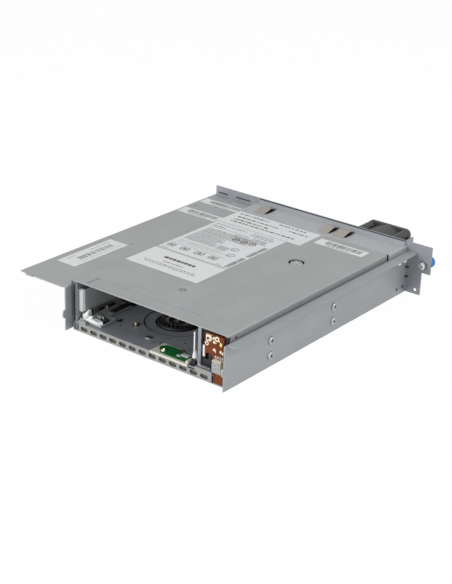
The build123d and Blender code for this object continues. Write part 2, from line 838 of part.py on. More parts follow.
def screw_washer(x):
    """Thrust washer that travels with the captive screw."""
    y0 = washer_front()
    return tube_y(x, knob_z, y0, y0 + washer, ferrule_r, screw_neck_r + run_clear)


def thumbscrew_shaft(x):
    """Steel screw: a thread in front of the rear plate and a thinner neck through the sleeve."""
    y0, y1 = plate_front - screw_reach, plate_front - screw_neck
    nose = rod_y(x, knob_z, y0, y1, screw_r)
    nose = chamfer(nose.edges().group_by(Axis.Y)[0], screw_nose)
    return nose + rod_y(x, knob_z, y1, knob_front() + knob_length * 0.6, screw_neck_r)


def knob_front():
    """Y of the front face of a thumbscrew's grip."""
    return washer_front() + washer + part_gap


def thumbscrew_knob(x):
    """Fluted grip moulded on the screw."""
    y0 = knob_front()
    y1 = y0 + knob_length
    knob = rod_y(x, knob_z, y0, y1, knob_r)
    knob = fillet(knob.edges().group_by(Axis.Y)[-1], knob_round)
    for number in range(knob_flutes):
        angle = math.radians(number * 360 / knob_flutes)
        fx, fz = x + knob_r * math.cos(angle), knob_z + knob_r * math.sin(angle)
        knob -= rod_y(fx, fz, y0 + knob_collar, y1 + 1, flute_r)
    return knob - rod_y(x, knob_z, y0 - 1, y0 + knob_length * 0.6, screw_neck_r)


def main_board():
    """Logic board under the deck, cut out round both reel motors."""
    z0, z1 = board_low, board_low + board_sheet
    inner = frame_outer - foot_boss_width - part_gap
    board = block(-inner, inner, behind(2), behind(body_length) - sheet - frame_wall - 1, z0, z1)
    board -= rod_z(*clutch, z0 - 1, z1 + 1, clutch_window_r)
    board -= rod_z(*takeup, z0 - 1, z1 + 1, clutch_window_r)
    x = across(guide_slot_x)
    y0, y1 = guide_slot_ends()
    board -= block(x - guide_slot_width, x + guide_slot_width, y0 - 4, y1 + 4, z0 - 1, z1 + 1)
    return board


def board_spacers():
    """Spacers of the logic board, and those under the interface board."""
    z0, z1 = bracket_bottom + tray_sheet, network_port_low - port_board_sheet
    x0, x1 = port_board_ends()
    posts = []
    for x in (x0 + board_post_r + 1, (x0 + x1) / 2, x1 - board_post_r - 1):
        posts.append(rod_z(x, rear_cover_front + 5.0, z0, z1, board_post_r))
    for x, y in board_posts:
        posts.append(rod_z(across(x), behind(y), sheet, board_low, board_post_r))
        posts.append(rod_z(across(x), behind(y), board_low + board_sheet, deck_under, board_post_r))
    return all_of(posts)


def reel_motor(center, top):
    """Motor base between the floor and the deck, with the spindle bore."""
    motor = rod_z(*center, sheet, motor_top, motor_r)
    motor += rod_z(*center, motor_top, top, spindle_r + 2.5)
    return motor - rod_z(*center, sheet + 1.2, top + 1, spindle_r + run_clear)


def reel_clutch():
    """Rotor disc with a ring of coupling teeth and a coned centre."""
    low = deck_under - 0.6
    disc = rod_z(*clutch, low, deck_top + 0.6, clutch_r)
    disc = fillet(disc.edges().group_by(Axis.Z)[-1], 0.5)
    disc -= rod_z(*clutch, low - 1, low + 0.5, spindle_r + 2.5 + part_gap)
    disc += rod_z(*clutch, sheet + 1.2 + part_gap, low + 1.0, spindle_r)
    disc += Pos(*clutch, deck_top + 0.6 + 0.9) * Cone(4.0, 2.4, 1.8)
    for number in range(clutch_teeth):
        tooth = Pos(12.3, 0, deck_top + 1.2) * Box(3.4, 1.6, 1.4)
        tooth = chamfer(tooth.edges().group_by(Axis.Z)[-1].filter_by(Axis.X), 0.5)
        disc += Pos(*clutch, 0) * Rot(0, 0, number * 360 / clutch_teeth) * tooth
    return disc


def takeup_reel():
    """Machine reel: spoked lower flange, hub with leader slot and clear upper flange."""
    hub_top = body_height - sheet - part_gap
    reel = rod_z(*takeup, reel_low, reel_high, takeup_hub_r)
    reel += rod_z(*takeup, reel_low, reel_low + reel_flange, takeup_r)
    reel += rod_z(*takeup, reel_high - reel_flange, reel_high, takeup_r)
    reel += rod_z(*takeup, reel_high, hub_top - 1.0, spindle_window_r - 0.8)
    window_r = (takeup_r - takeup_hub_r) * 0.28
    for number in range(3):
        window = Pos(0, (takeup_hub_r + takeup_r) / 2, reel_high) * Cylinder(window_r, 3 * reel_flange)
        reel -= Pos(*takeup, 0) * Rot(0, 0, 20 + number * 120) * window
    for number in range(3):
        arm = Pos(0, 2.9, hub_top - 0.5) * Box(1.6, 4.4, 1.0)
        reel += Pos(*takeup, 0) * Rot(0, 0, number * 120) * arm
    reel += rod_z(*takeup, hub_top - 1.0, hub_top, 1.6)
    reel -= block(takeup[0] - 1.5, takeup[0] + 1.5, takeup[1] - takeup_hub_r - 1, takeup[1] - 5,
                  tape_low, tape_low + tape_width)
    return reel + rod_z(*takeup, sheet + 1.2 + part_gap, reel_low + 1, spindle_r)


def roller_pin_set():
    """Pins that carry the tape guide rollers."""
    pins = []
    for x, y in roller_pins:
        pin = rod_z(x, y, deck_top, roller_low - part_gap, 3.4)
        pin += rod_z(x, y, deck_top, roller_pin_top, roller_pin_r)
        pins.append(pin + rod_z(x, y, roller_high + part_gap, roller_pin_top, roller_pin_r + 1.2))
    return all_of(pins)


def tape_roller(x, y):
    """Flanged guide roller."""
    z0, z1 = roller_low, roller_high
    roller = rod_z(x, y, z0, z1, roller_r)
    roller += rod_z(x, y, z0, z0 + 0.8, roller_flange_r) + rod_z(x, y, z1 - 0.8, z1, roller_flange_r)
    return roller - rod_z(x, y, z0 - 1, z1 + 1, roller_pin_r + run_clear)


def head_posts():
    """Two guide posts and their foot, which carry the head."""
    x, y = head_place
    foot = block(x - 17.0, x - 7.0, y - 9.0, y + 9.0, deck_top, deck_top + 2.0)
    for offset in (-head_post_gap / 2, head_post_gap / 2):
        foot += rod_z(x - 12.0, y + offset, deck_top + 2.0, tape_low + tape_width + 6.0, 1.5)
    return foot


def tape_head():
    """Read and write head on its lift block."""
    x, y = head_place
    z0, z1 = tape_low - 1.4, tape_low + tape_width + 1.4
    head = block(x - 15.5, x - 2.4, y - 8.2, y + 8.2, z0, z1)
    nose = rod_z(x - 4.6, y, tape_low, tape_low + tape_width, 4.2)
    head += nose & block(x - 4.6, x + 2.0, y - 3.4, y + 3.4, z0, z1)
    for offset in (-head_post_gap / 2, head_post_gap / 2):
        head -= rod_z(x - 12.0, y + offset, z0 - 1, z1 + 1, 1.5 + run_clear)
    return head


def arm_pin():
    """Pivot post of the threading arm."""
    x, y = arm_pivot
    shoulder = arm_low - part_gap
    return rod_z(x, y, deck_top, shoulder, 3.6) + rod_z(x, y, shoulder, arm_low + arm_thickness + 1.0, 2.0)


def threading_arm():
    """Flat arm that swings the leader catcher from the cartridge to the take-up hub."""
    arm = Pos(-arm_length / 2, 0, arm_thickness / 2) * Box(arm_length, arm_width, arm_thickness)
    arm += Pos(-arm_length, 0, arm_thickness / 2) * Cylinder(4.5, arm_thickness)
    arm += Pos(0, 0, arm_thickness / 2) * Cylinder(5.0, arm_thickness)
    arm -= Cylinder(2.0 + run_clear, 20)
    for x in (-0.35, -0.62):
        arm -= Pos(x * arm_length, 0, 0) * Cylinder(2.0, 20)
    arm += Pos(-arm_length, 0, -0.6) * Cylinder(2.6, 1.2)
    return Pos(*arm_pivot, arm_low) * Rot(0, 0, arm_rest_angle) * arm


def left_guide():
    """Left side plate of the cartridge bay with its turned front edge and feet."""
    x1 = across(bay_left)
    x0 = x1 - guide_sheet
    y0, y1 = behind(guide_front), behind(bay_length)
    guide = block(x0, x1, y0, y1, guide_bottom, bay_roof)
    guide += block(frame_gap - frame_inner, x1, y0, y0 + guide_sheet, guide_bottom, bay_roof)
    clear_of_carriage = behind(carriage_front + carriage_length + carriage_travel + 2.0)
    for y in (clear_of_carriage, y1 - guide_foot):
        guide += block(x0 - 3.0, x1, y, y + guide_foot, deck_top, guide_bottom)
    guide += block(x0, x1, y1 - 20.0, y1, bay_roof, cover_under)
    return guide


def right_wall():
    """Right wall of the bay: folded steel with a foot on the deck."""
    x = across(inner_wall_x)
    top = cover_under - part_gap
    points = [(x, top), (x, deck_top), (x + inner_wall_foot, deck_top)]
    wall = run_y(bent_section(points, guide_sheet, bend), behind(inner_wall_front), behind(bay_length))
    wall += block(x, x + inner_wall_lip, behind(inner_wall_front), behind(inner_wall_front) + guide_sheet,
                  deck_top + guide_sheet, top)
    wall -= block(x + 2.4, x + inner_wall_foot + 1, behind(30), behind(bay_length) + 1,
                  deck_top - 1, deck_top + 3)
    return wall + block(x, x + 6.0, behind(80), behind(90), top - guide_sheet, cover_under)


def bay_roof_guide():
    """Thin pressed plate under the top cover that keeps the cartridge down."""
    x0, x1 = across(bay_left), across(inner_wall_x)
    roof = block(x0, x1, behind(24), behind(bay_length - 4), bay_roof + 1.6, bay_roof + 2.6)
    roof -= block(x0 + 18, x1 - 18, behind(40), behind(bay_length - 20), bay_roof, bay_roof + 4)
    for x in (x0 + 6, x1 - 6):
        roof += rod_z(x, behind(70), bay_roof + 2.6, cover_under, 2.6)
    return roof


def reader_holder():
    """Moulded frame, set flush in the deck, that holds the cartridge-memory reader board."""
    x0, x1, y0, y1 = reader_place()
    holder = block(x0, x1, y0, y1, deck_under, deck_top + reader_rise)
    holder += block(x0, x1, behind(-sheet), y0, sill_low + part_gap, deck_top + reader_rise)
    board_low = deck_top + reader_board_rise - reader_board_sheet
    holder -= Pos(0, 0, board_low) * extrude(reader_outline(0), amount=reader_board_sheet + 1)
    return holder + block(x1 - 2.2, x1, y0, y1 - 2.0, deck_top, deck_top + 2.2)


def reader_outline(gap):
    """Outline of the reader board, taken in by a gap: one corner is cut and two are round."""
    x0, x1 = across(reader_x) + gap, across(reader_x + reader_width) - gap
    y0, y1 = behind(reader_front) + gap, behind(reader_front + reader_depth) - gap
    outline = Polygon((x0 + reader_cut, y0), (x1, y0), (x1, y1), (x0, y1), (x0, y0 + reader_cut), align=None)
    return fillet(outline.vertices().group_by(Axis.Y)[-1], reader_round - gap)


def reader_board():
    """Small reader board with two round corners and a cut one."""
    low = deck_top + reader_board_rise - reader_board_sheet
    return Pos(0, 0, low) * extrude(reader_outline(0.05), amount=reader_board_sheet)


def loader_carriage():
    """Flat carriage guided in the deck slot, with its upright drive wall by the frame."""
    x0 = across(carriage_left)
    x1 = x0 + carriage_width
    y0, y1 = behind(carriage_front), behind(carriage_front + carriage_length)
    z0 = deck_top + part_gap
    z1 = z0 + carriage_thickness
    carriage = block(x0, x1 - 8.0, y0, y1, z0, z1) + block(x0, x1, y0, y0 + 17.0, z0, z1)
    carriage -= rod_z(x1 - 5.0, y0 + 9.0, z0 - 1, z1 + 1, 3.2)
    x = across(guide_slot_x)
    for y in carriage_pins():
        carriage += rod_z(x, y, deck_under - 0.6, z0, guide_slot_width / 2 - part_gap)
    carriage += block(x0, x0 + 1.4, y0 + 14.0, y1, z1, z1 + 4.2)
    return carriage + rod_z(*latch_pivot(), z1, z1 + latch_height + 0.6, latch_pivot_r)


def latch_pivot():
    """X and Y of the latch's pivot on the carriage."""
    return across(carriage_left) + latch_hub_r, behind(carriage_front) + 4.0


def cartridge_latch():
    """White lever on the carriage: hub, upright tooth, lying barrel and the flat catch arm."""
    x, y = latch_pivot()
    z0 = deck_top + 2 * part_gap + carriage_thickness
    z1 = z0 + latch_height
    lever = rod_z(x, y, z0, z1, latch_hub_r)
    leaf = [(-1.0, z0), (0.6, z0 + 2.5), (2.0, z0 + 4.5), (2.6, latch_tooth_top - 0.8),
            (3.6, latch_tooth_top), (4.8, latch_tooth_top - 1.2), (5.0, latch_tooth_top - 4.2), (3.4, z0)]
    tooth = Plane.XZ * Polygon(*[(x + reach, z) for reach, z in leaf], align=None)
    lever += Pos(0, y - latch_tooth_front + latch_tooth_sheet, 0) * extrude(tooth, amount=latch_tooth_sheet)
    barrel_y, barrel_z = y - 2.0, z0 + latch_barrel_r
    x_end = x + latch_barrel_length
    lever += rod_x(barrel_y, barrel_z, x + 0.4, x_end, latch_barrel_r)
    catch = Polygon((x_end - 1, barrel_y - 2.0), (x_end + latch_arm_length - 3.5, barrel_y - 3.2),
                    (x_end + latch_arm_length, barrel_y - 0.4),
                    (x_end + latch_arm_length - 4.0, barrel_y + 1.4), (x_end - 1, barrel_y + 2.0), align=None)
    lever += Pos(0, 0, z0) * extrude(catch, amount=2.2)
    return lever - rod_z(x, y, z0 - 1, latch_tooth_top + 1, latch_pivot_r + run_clear)


def feeler_bracket():
    """Two ears on the deck that hold the feeler's pin."""
    x, y = across(feeler_x), behind(feeler_y)
    base = block(x - 1.1, x + 2.4, y - 2.2, y + 3.4, deck_top, deck_top + 0.8)
    pin_z = deck_top + feeler_pin_rise
    for y0 in (y - 2.2, y + 2.4):
        base += block(x - 1.1, x + 2.4, y0, y0 + 1.0, deck_top, deck_top + 4.4)
    return base + rod_y(x, pin_z, y - 2.2, y + 3.4, feeler_pin_r)


def cartridge_feeler():
    """Slim upright feeler with a moulded foot, pivoted on its pin."""
    x, y = across(feeler_x), behind(feeler_y)
    foot = block(x - 1.1, x + 1.4, y - 0.9, y + 2.1, deck_top + 1.2, deck_top + 8.0)
    foot = fillet(foot.edges().filter_by(Axis.Y), 1.0)
    feeler = foot + block(x - 0.5, x + 0.5, y - 0.6, y + 0.6, deck_top + 7.0, bay_roof - 0.8)
    return feeler - rod_y(x, deck_top + feeler_pin_rise, y - 3, y + 5, feeler_pin_r + run_clear)


def locating_pins():
    """Turned pins that place the cartridge on the deck."""
    pins = []
    for x, y in (near_pin, (inner_wall_x - far_pin_from_wall, bay_length - far_pin_from_bay_end)):
        pin = rod_z(across(x), behind(y), deck_top, deck_top + locating_pin_rise, locating_pin_r)
        pins.append(chamfer(pin.edges().group_by(Axis.Z)[-1], 0.6))
    return all_of(pins)


def operator_board():
    """Board at the front right with its cut corner and round notch."""
    x0, x1 = across(board_left), across(board_right)
    front, back = behind(board_face), behind(board_face + board_thickness)
    board = block(x0, x1, front, back, board_bottom, board_top)
    board -= block(x0 - 1, x0 + lower_notch_width, front - 1, back + 1, board_bottom - 1, lower_notch_z)
    board -= rod_y(x0 + side_notch_r + 0.4, side_notch_z, front - 1, back + 1, side_notch_r)
    notch_right = x0 + 2 * side_notch_r + 0.4
    board -= block(x0 - 1, notch_right, front - 1, back + 1, lower_notch_z - 1, side_notch_z)
    return board


def board_mount():
    """Standing lug on the frame side that carries the operator board."""
    y0, y1 = behind(board_face + board_thickness), behind(board_face + board_thickness + 8.0)
    x1 = frame_inner
    x0 = x1 - mount_width
    foot_top, head_low, head_top = deck_top + 4.5, board_top - 10.4, board_top - 4.4
    lug = block(x0, x1, y0, y1, deck_top, foot_top) + block(x0, x1, y0, y1, head_low, head_top)
    return lug + block(x1 - 1.5, x1, y0 + 3.0, y1, foot_top, head_low)


def status_display():
    """One-digit display module."""
    x0 = across(display_left)
    y0, y1 = behind(board_face - display_depth), behind(board_face)
    module = block(x0, x0 + display_width, y0, y1, display_bottom, display_bottom + display_height)
    return chamfer(module.edges().group_by(Axis.Y)[0], 0.3)


def display_pins():
    """Row of soldered pins above the display."""
    pins = []
    pitch = display_width / display_pin_count
    for number in range(display_pin_count):
        x = across(display_left) + pitch * (number + 0.5)
        place = Pos(x, behind(board_face) - display_pin / 2, display_top + 1.6)
        pins.append(place * Box(display_pin, display_pin, 1.8))
    return all_of(pins)


def status_leds():
    """Chip lamps on the operator board, in two rows between the display and the top edge."""
    lamps = []
    for column in lamp_columns:
        for row in lamp_rows:
            x = across(board_right - column)
            z = display_top + row * (board_top - display_top)
            lamp = Pos(x, behind(board_face) - lamp_depth / 2, z) * Box(lamp_width, lamp_depth, lamp_height)
            lamps.append(chamfer(lamp.edges().group_by(Axis.Y)[0], 0.25))
    return all_of(lamps)


def eject_switch():
    """Square body of the eject switch with the plunger's bore."""
    x, y = across(switch_x), behind(board_face)
    half = switch_size / 2
    body = block(x - half, x + half, y - switch_height, y, switch_z - half, switch_z + half)
    body = chamfer(body.edges().group_by(Axis.Y)[0], 0.3)
    return body - rod_y(x, switch_z, y - 3, y - 0.4, plunger_r + run_clear)


def eject_plunger():
    """Round plunger of the eject switch."""
    x, y = across(switch_x), behind(board_face)
    return rod_y(x, switch_z, y - switch_height - 0.7, y - 0.4 - plunger_travel - 0.1, plunger_r)


def media_sensor():
    """Black optical sensor block on the bay wall's foot, behind the board's notch."""
    x0 = across(inner_wall_x) + guide_sheet + 1.4
    z0 = deck_top + guide_sheet
    body = block(x0, x0 + 9.0, behind(4.4), behind(11.0), z0, z0 + 13.0)
    body -= block(x0 + 3.0, x0 + 6.4, behind(3), behind(7.4), z0 + 6.0, z0 + 14)
    return chamfer(body.edges().group_by(Axis.Y)[0].filter_by(Axis.Z), 0.4)


def port_board_ends():
    """Left and right ends of the board that carries the ports."""
    return data_window(port_board_margin)[0], network_window(port_board_margin)[1]


def interface_board():
    """Board in the rear compartment that carries the ports."""
    x0, x1 = port_board_ends()
    y0, y1 = rear_cover_front + 1.5, plate_front - 0.6
    return block(x0, x1, y0, y1, network_port_low - port_board_sheet, network_port_low)


def data_port():
    """Shielded data connector with its tongue."""
    x0, x1, z0, z1 = data_window(0)
    y0, y1 = plate_front - 16.0, plate_back + 1.0
    shell = block(x0, x1, y0, y1, z0, z1) - block(x0 + 1, x1 - 1, y0 + 3.0, y1 + 1, z0 + 1, z1 - 1)
    shell += block(x0 + 3, x1 - 3, y0 + 2, y1 - 6.0, (z0 + z1) / 2 - 0.8, (z0 + z1) / 2 + 0.8)
    return shell + block(x0 + 2, x1 - 2, y0 + 1, y1 - 4, network_port_low, z0)


def network_port():
    """Modular network jack."""
    x0, x1, z0, z1 = network_window(0)
    y0, y1 = plate_front - 15.0, plate_back + 0.6
    shell = block(x0, x1, y0, y1, z0, z1)
    return shell - block(x0 + 2.2, x1 - 2.2, y0 + 3, y1 + 1, z0 + 2.6, z1 - 2.4)


nodes = {
    "top_cover": top_cover(),
    "bottom_cover": bottom_cover(),
    "main_frame": main_frame(),
    "left_bracket": drill_bracket(left_bracket(), -1),
    "right_bracket": drill_bracket(right_bracket(), 1),
    "rear_plate": rear_plate(),
    "rear_cover": rear_cover(),
    "rear_floor": rear_floor(),
    "grounding_springs": grounding_springs(),
    "left_side_screws": side_screws(-1),
    "right_side_screws": side_screws(1),
    "tray_rivets": tray_rivets(),
    "fan_frame": fan_frame(),
    "fan_rotor": fan_rotor(),
    "fan_screws": fan_screws(),
    "main_board": main_board(),
    "board_spacers": board_spacers(),
    "reel_motor": reel_motor(clutch, deck_under - 0.6),
    "reel_clutch": reel_clutch(),
    "takeup_motor": reel_motor(takeup, reel_low - part_gap),
    "takeup_reel": takeup_reel(),
    "roller_pins": roller_pin_set(),
    "head_posts": head_posts(),
    "tape_head": tape_head(),
    "arm_pin": arm_pin(),
    "threading_arm": threading_arm(),
    "left_bay_guide": left_guide(),
    "right_bay_wall": right_wall(),
    "bay_roof_guide": bay_roof_guide(),
    "reader_holder": reader_holder(),
    "reader_board": reader_board(),
    "loader_carriage": loader_carriage(),
    "cartridge_latch": cartridge_latch(),
    "feeler_bracket": feeler_bracket(),
    "cartridge_feeler": cartridge_feeler(),
    "locating_pins": locating_pins(),
    "operator_board": operator_board(),
    "board_mount": board_mount(),
    "status_display": status_display(),
    "display_pins": display_pins(),
    "status_leds": status_leds(),
    "eject_switch": eject_switch(),
    "eject_plunger": eject_plunger(),
    "media_sensor": media_sensor(),
    "interface_board": interface_board(),
    "data_port": data_port(),
    "network_port": network_port(),
}
for number, (x, y) in enumerate(roller_pins, start=1):
    nodes[f"tape_roller_{number}"] = tape_roller(x, y)
for name, place in (("right", knob_right_x), ("left", knob_left_x)):
    nodes[f"{name}_screw_ferrule"] = screw_ferrule(across(place))
    nodes[f"{name}_screw_washer"] = screw_washer(across(place))
    nodes[f"{name}_thumbscrew_shaft"] = thumbscrew_shaft(across(place))
    nodes[f"{name}_thumbscrew_knob"] = thumbscrew_knob(across(place))

os.makedirs("parts", exist_ok=True)
for name, shape in nodes.items():
    export_step(shape, f"parts/{name}.step")
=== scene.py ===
"""Looks of a half-height data tape drive on its library tray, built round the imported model.

Everything is in metres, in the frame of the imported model: +Z up, +Y towards the rear and
+X to the right seen from the front. Places on the drive are written in millimetres from
the left side, the front edge of the top cover and the underside, and `spot` turns them
into that frame.
"""
import logging
import math
import random
from dataclasses import dataclass
from enum import Enum, IntEnum
from typing import Iterable, Sequence

import bmesh
import bpy
from mathutils import Matrix, Vector


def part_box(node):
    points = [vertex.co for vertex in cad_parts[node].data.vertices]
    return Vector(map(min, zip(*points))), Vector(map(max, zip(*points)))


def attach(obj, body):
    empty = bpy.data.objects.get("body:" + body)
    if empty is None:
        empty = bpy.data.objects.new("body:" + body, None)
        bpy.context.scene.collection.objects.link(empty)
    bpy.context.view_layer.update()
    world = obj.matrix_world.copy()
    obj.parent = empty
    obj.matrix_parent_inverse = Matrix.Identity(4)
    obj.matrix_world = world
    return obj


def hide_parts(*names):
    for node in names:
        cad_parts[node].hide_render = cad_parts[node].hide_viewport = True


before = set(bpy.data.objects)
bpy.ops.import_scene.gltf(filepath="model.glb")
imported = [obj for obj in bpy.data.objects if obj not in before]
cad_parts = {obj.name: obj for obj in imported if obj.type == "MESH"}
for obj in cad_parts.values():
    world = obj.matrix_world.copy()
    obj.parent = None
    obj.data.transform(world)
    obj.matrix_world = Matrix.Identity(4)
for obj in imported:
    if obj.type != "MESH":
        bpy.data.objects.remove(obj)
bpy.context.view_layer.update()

log = logging.getLogger("tape_drive")
Tone = tuple[float, float, float]
Point = tuple[float, float, float]
Pair = tuple[float, float]
Outline = tuple[Pair, ...]
Area = tuple[float, float, float, float]
MM = 0.001
SMOOTH_ANGLE = math.radians(32)
UP = (0.0, 0.0, 1.0)
DOWN = (0.0, 0.0, -1.0)
FORWARD = (0.0, -1.0, 0.0)
REARWARD = (0.0, 1.0, 0.0)
RIGHTWARD = (1.0, 0.0, 0.0)


def spot(x: float, y: float, z: float) -> Vector:
    """Turns a place on the drive, in millimetres, into the shared frame.

    Args:
        x: Distance to the right of the body's left side.
        y: Distance behind the top cover's front edge.
        z: Height above the underside.

    Returns:
        The point in metres.
    """
    low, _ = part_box("top_cover")
    return Vector((low[0] + x * MM, low[1] + y * MM, z * MM))


def top_of(node: str) -> float:
    """Height of a node's highest point, in millimetres."""
    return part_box(node)[1][2] / MM


def middle(node: str) -> Vector:
    """Middle of a node's box."""
    low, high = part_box(node)
    return (Vector(low) + Vector(high)) / 2


class Field:
    """A socket of a material that takes part in arithmetic, adding a Math node for each step."""

    def __init__(self, recipe: "Recipe", socket: bpy.types.NodeSocket) -> None:
        """Wraps a socket.

        Args:
            recipe: The recipe whose node tree holds the socket.
            socket: An output socket that gives one number.
        """
        self.recipe = recipe
        self.socket = socket

    def _math(self, operation: str, *values: object) -> "Field":
        """Adds a Math node.

        Args:
            operation: The node's operation.
            values: Numbers or fields, in socket order.

        Returns:
            The node's result.
        """
        node = self.recipe.node("ShaderNodeMath", {"operation": operation}, *values)
        return Field(self.recipe, node.outputs[0])

    def __add__(self, other: object) -> "Field":
        """Sum."""
        return self._math("ADD", self, other)

    __radd__ = __add__

    def __sub__(self, other: object) -> "Field":
        """Difference."""
        return self._math("SUBTRACT", self, other)

    def __rsub__(self, other: object) -> "Field":
        """Difference with the field on the right."""
        return self._math("SUBTRACT", other, self)

    def __mul__(self, other: object) -> "Field":
        """Product."""
        return self._math("MULTIPLY", self, other)

    __rmul__ = __mul__

    def __abs__(self) -> "Field":
        """Distance from nought."""
        return self._math("ABSOLUTE", self)

    def most(self, other: object) -> "Field":
        """The larger of two."""
        return self._math("MAXIMUM", self, other)

    def below(self, edge: object) -> "Field":
        """1 where the field is under the edge, else 0."""
        return self._math("LESS_THAN", self, edge)

    def fade(self, low: float, high: float) -> "Field":
        """Goes smoothly from 0 at low to 1 at high.

        Args:
            low: Where it starts.
            high: Where it ends.

        Returns:
            The field, held between 0 and 1.
        """
        settings = {"interpolation_type": "SMOOTHSTEP"}
        span = {"From Min": low, "From Max": high}
        node = self.recipe.node("ShaderNodeMapRange", settings, Value=self, **span)
        return Field(self.recipe, node.outputs["Result"])


class Recipe:
    """A material or a world under construction: its node tree and one method that makes its nodes."""

    COLOUR_INPUTS = (6, 7)

    def __init__(self, name: str, kind: str = "materials") -> None:
        """Starts with an empty tree.

        Args:
            name: The material's name, or the world's.
            kind: The list of bpy.data that it goes to.
        """
        self.owner = getattr(bpy.data, kind).new(name)
        self.owner.use_nodes = True
        self.tree = self.owner.node_tree
        self.tree.nodes.clear()

    def node(self, kind: str, settings: dict[str, object], *values: object,
             **named: object) -> bpy.types.Node:
        """Makes a node.

        Args:
            kind: The node's type.
            settings: Properties, set before any socket.
            values: Values, fields or sockets for the first input sockets.
            named: The same, by socket name.

        Returns:
            The node.
        """
        node = self.tree.nodes.new(kind)
        for key, value in settings.items():
            setattr(node, key, value)
        pairs = [(node.inputs[number], value) for number, value in enumerate(values)]
        pairs += [(node.inputs[key], value) for key, value in named.items()]
        for socket, value in pairs:
            self.feed(socket, value)
        return node

    def feed(self, socket: bpy.types.NodeSocket, value: object) -> None:
        """Links a field or a socket to an input, or sets the input to a value."""
        source = value.socket if isinstance(value, Field) else value
        if isinstance(source, bpy.types.NodeSocket):
            self.tree.links.new(source, socket)
        else:
            socket.default_value = source

    def place(self, stretch: Point = (1.0, 1.0, 1.0)) -> bpy.types.NodeSocket:
        """Object coordinates, stretched along each axis."""
        source = self.node("ShaderNodeTexCoord", {}).outputs["Object"]
        return self.node("ShaderNodeMapping", {}, Vector=source, Scale=stretch).outputs["Vector"]

    def axes(self) -> tuple[Field, Field, Field]:
        """The three Object coordinates as fields, in metres."""
        node = self.node("ShaderNodeSeparateXYZ", {}, self.place())
        x, y, z = (Field(self, output) for output in node.outputs)
        return x, y, z

    def noise(self, scale: float, stretch: Point = (1.0, 1.0, 1.0), detail: float = 3.0) -> Field:
        """Cloudy noise between 0 and 1.

        Args:
            scale: Cells per metre.
            stretch: Scale factors along the axes.
            detail: Octaves.

        Returns:
            The noise.
        """
        node = self.node("ShaderNodeTexNoise", {}, Vector=self.place(stretch), Scale=scale, Detail=detail)
        return Field(self, node.outputs[0])

    def cells(self, scale: float) -> Field:
        """Distance from the middle of the nearest cell, for a number of cells per metre."""
        node = self.node("ShaderNodeTexVoronoi", {}, Vector=self.place(), Scale=scale)
        return Field(self, node.outputs["Distance"])

    def mix(self, share: Field, first: object, second: object) -> bpy.types.NodeSocket:
        """Colour between two others.

        Args:
            share: 0 gives the first, 1 the second.
            first: A tone or a colour socket.
            second: A tone or a colour socket.

        Returns:
            The colour socket.
        """
        node = self.node("ShaderNodeMix", {"data_type": "RGBA"}, share)
        for number, value in zip(self.COLOUR_INPUTS, (first, second)):
            self.feed(node.inputs[number], self.colour(value))
        return node.outputs[2]

    @staticmethod
    def colour(value: object) -> object:
        """A colour socket as it is, or a tone with its alpha of 1."""
        return value if isinstance(value, bpy.types.NodeSocket) else (*value, 1.0)

    def bump(self, height: Field, distance: float, strength: float = 1.0) -> bpy.types.NodeSocket:
        """Normal from a height, with the distance in metres."""
        node = self.node("ShaderNodeBump", {}, Height=height, Distance=distance, Strength=strength)
        return node.outputs["Normal"]

    def finish(self, base: object, **sockets: object) -> bpy.types.Material:
        """Ends the material with a Principled shader.

        Args:
            base: Tone or colour socket.
            sockets: Other sockets by name, with _ for a space.

        Returns:
            The material.
        """
        named = {key.replace("_", " "): value for key, value in sockets.items()}
        named["Base Color"] = self.colour(base)
        shader = self.node("ShaderNodeBsdfPrincipled", {}, **named)
        self.node("ShaderNodeOutputMaterial", {}, Surface=shader.outputs[0])
        return self.owner


def shade(tone: Tone, factor: float) -> Tone:
    """A lighter or darker tone.

    Args:
        tone: Linear red, green and blue.
        factor: What each is multiplied by.

    Returns:
        The new tone.
    """
    red, green, blue = (min(1.0, value * factor) for value in tone)
    return red, green, blue


class Grain(Enum):
    """Which way the rolled grain of a sheet runs."""

    ALONG = (1.0, 0.03, 1.0)
    ACROSS = (0.03, 1.0, 1.0)
    UP = (1.0, 1.0, 0.03)


@dataclass(frozen=True)
class Rub:
    """A hairline rub mark along a side: height and slope, half its width, where it fades in and out."""

    height: float
    slope: float
    width: float
    start: Pair
    end: Pair

    def mask(self, run: Field, z: Field) -> Field:
        """1 on the mark, else 0, with fading ends.

        Args:
            run: Distance behind the front.
            z: Height, already made to wander.

        Returns:
            The mask.
        """
        line = abs(z - (run * self.slope + self.height)).below(self.width)
        return line * run.fade(*self.start) * (1 - run.fade(*self.end))


@dataclass(frozen=True)
class Finish:
    """Anything that can be made into a material, with its name and its linear base tone."""

    name: str
    tone: Tone

    def material(self) -> bpy.types.Material:
        """Builds the material."""
        raise NotImplementedError


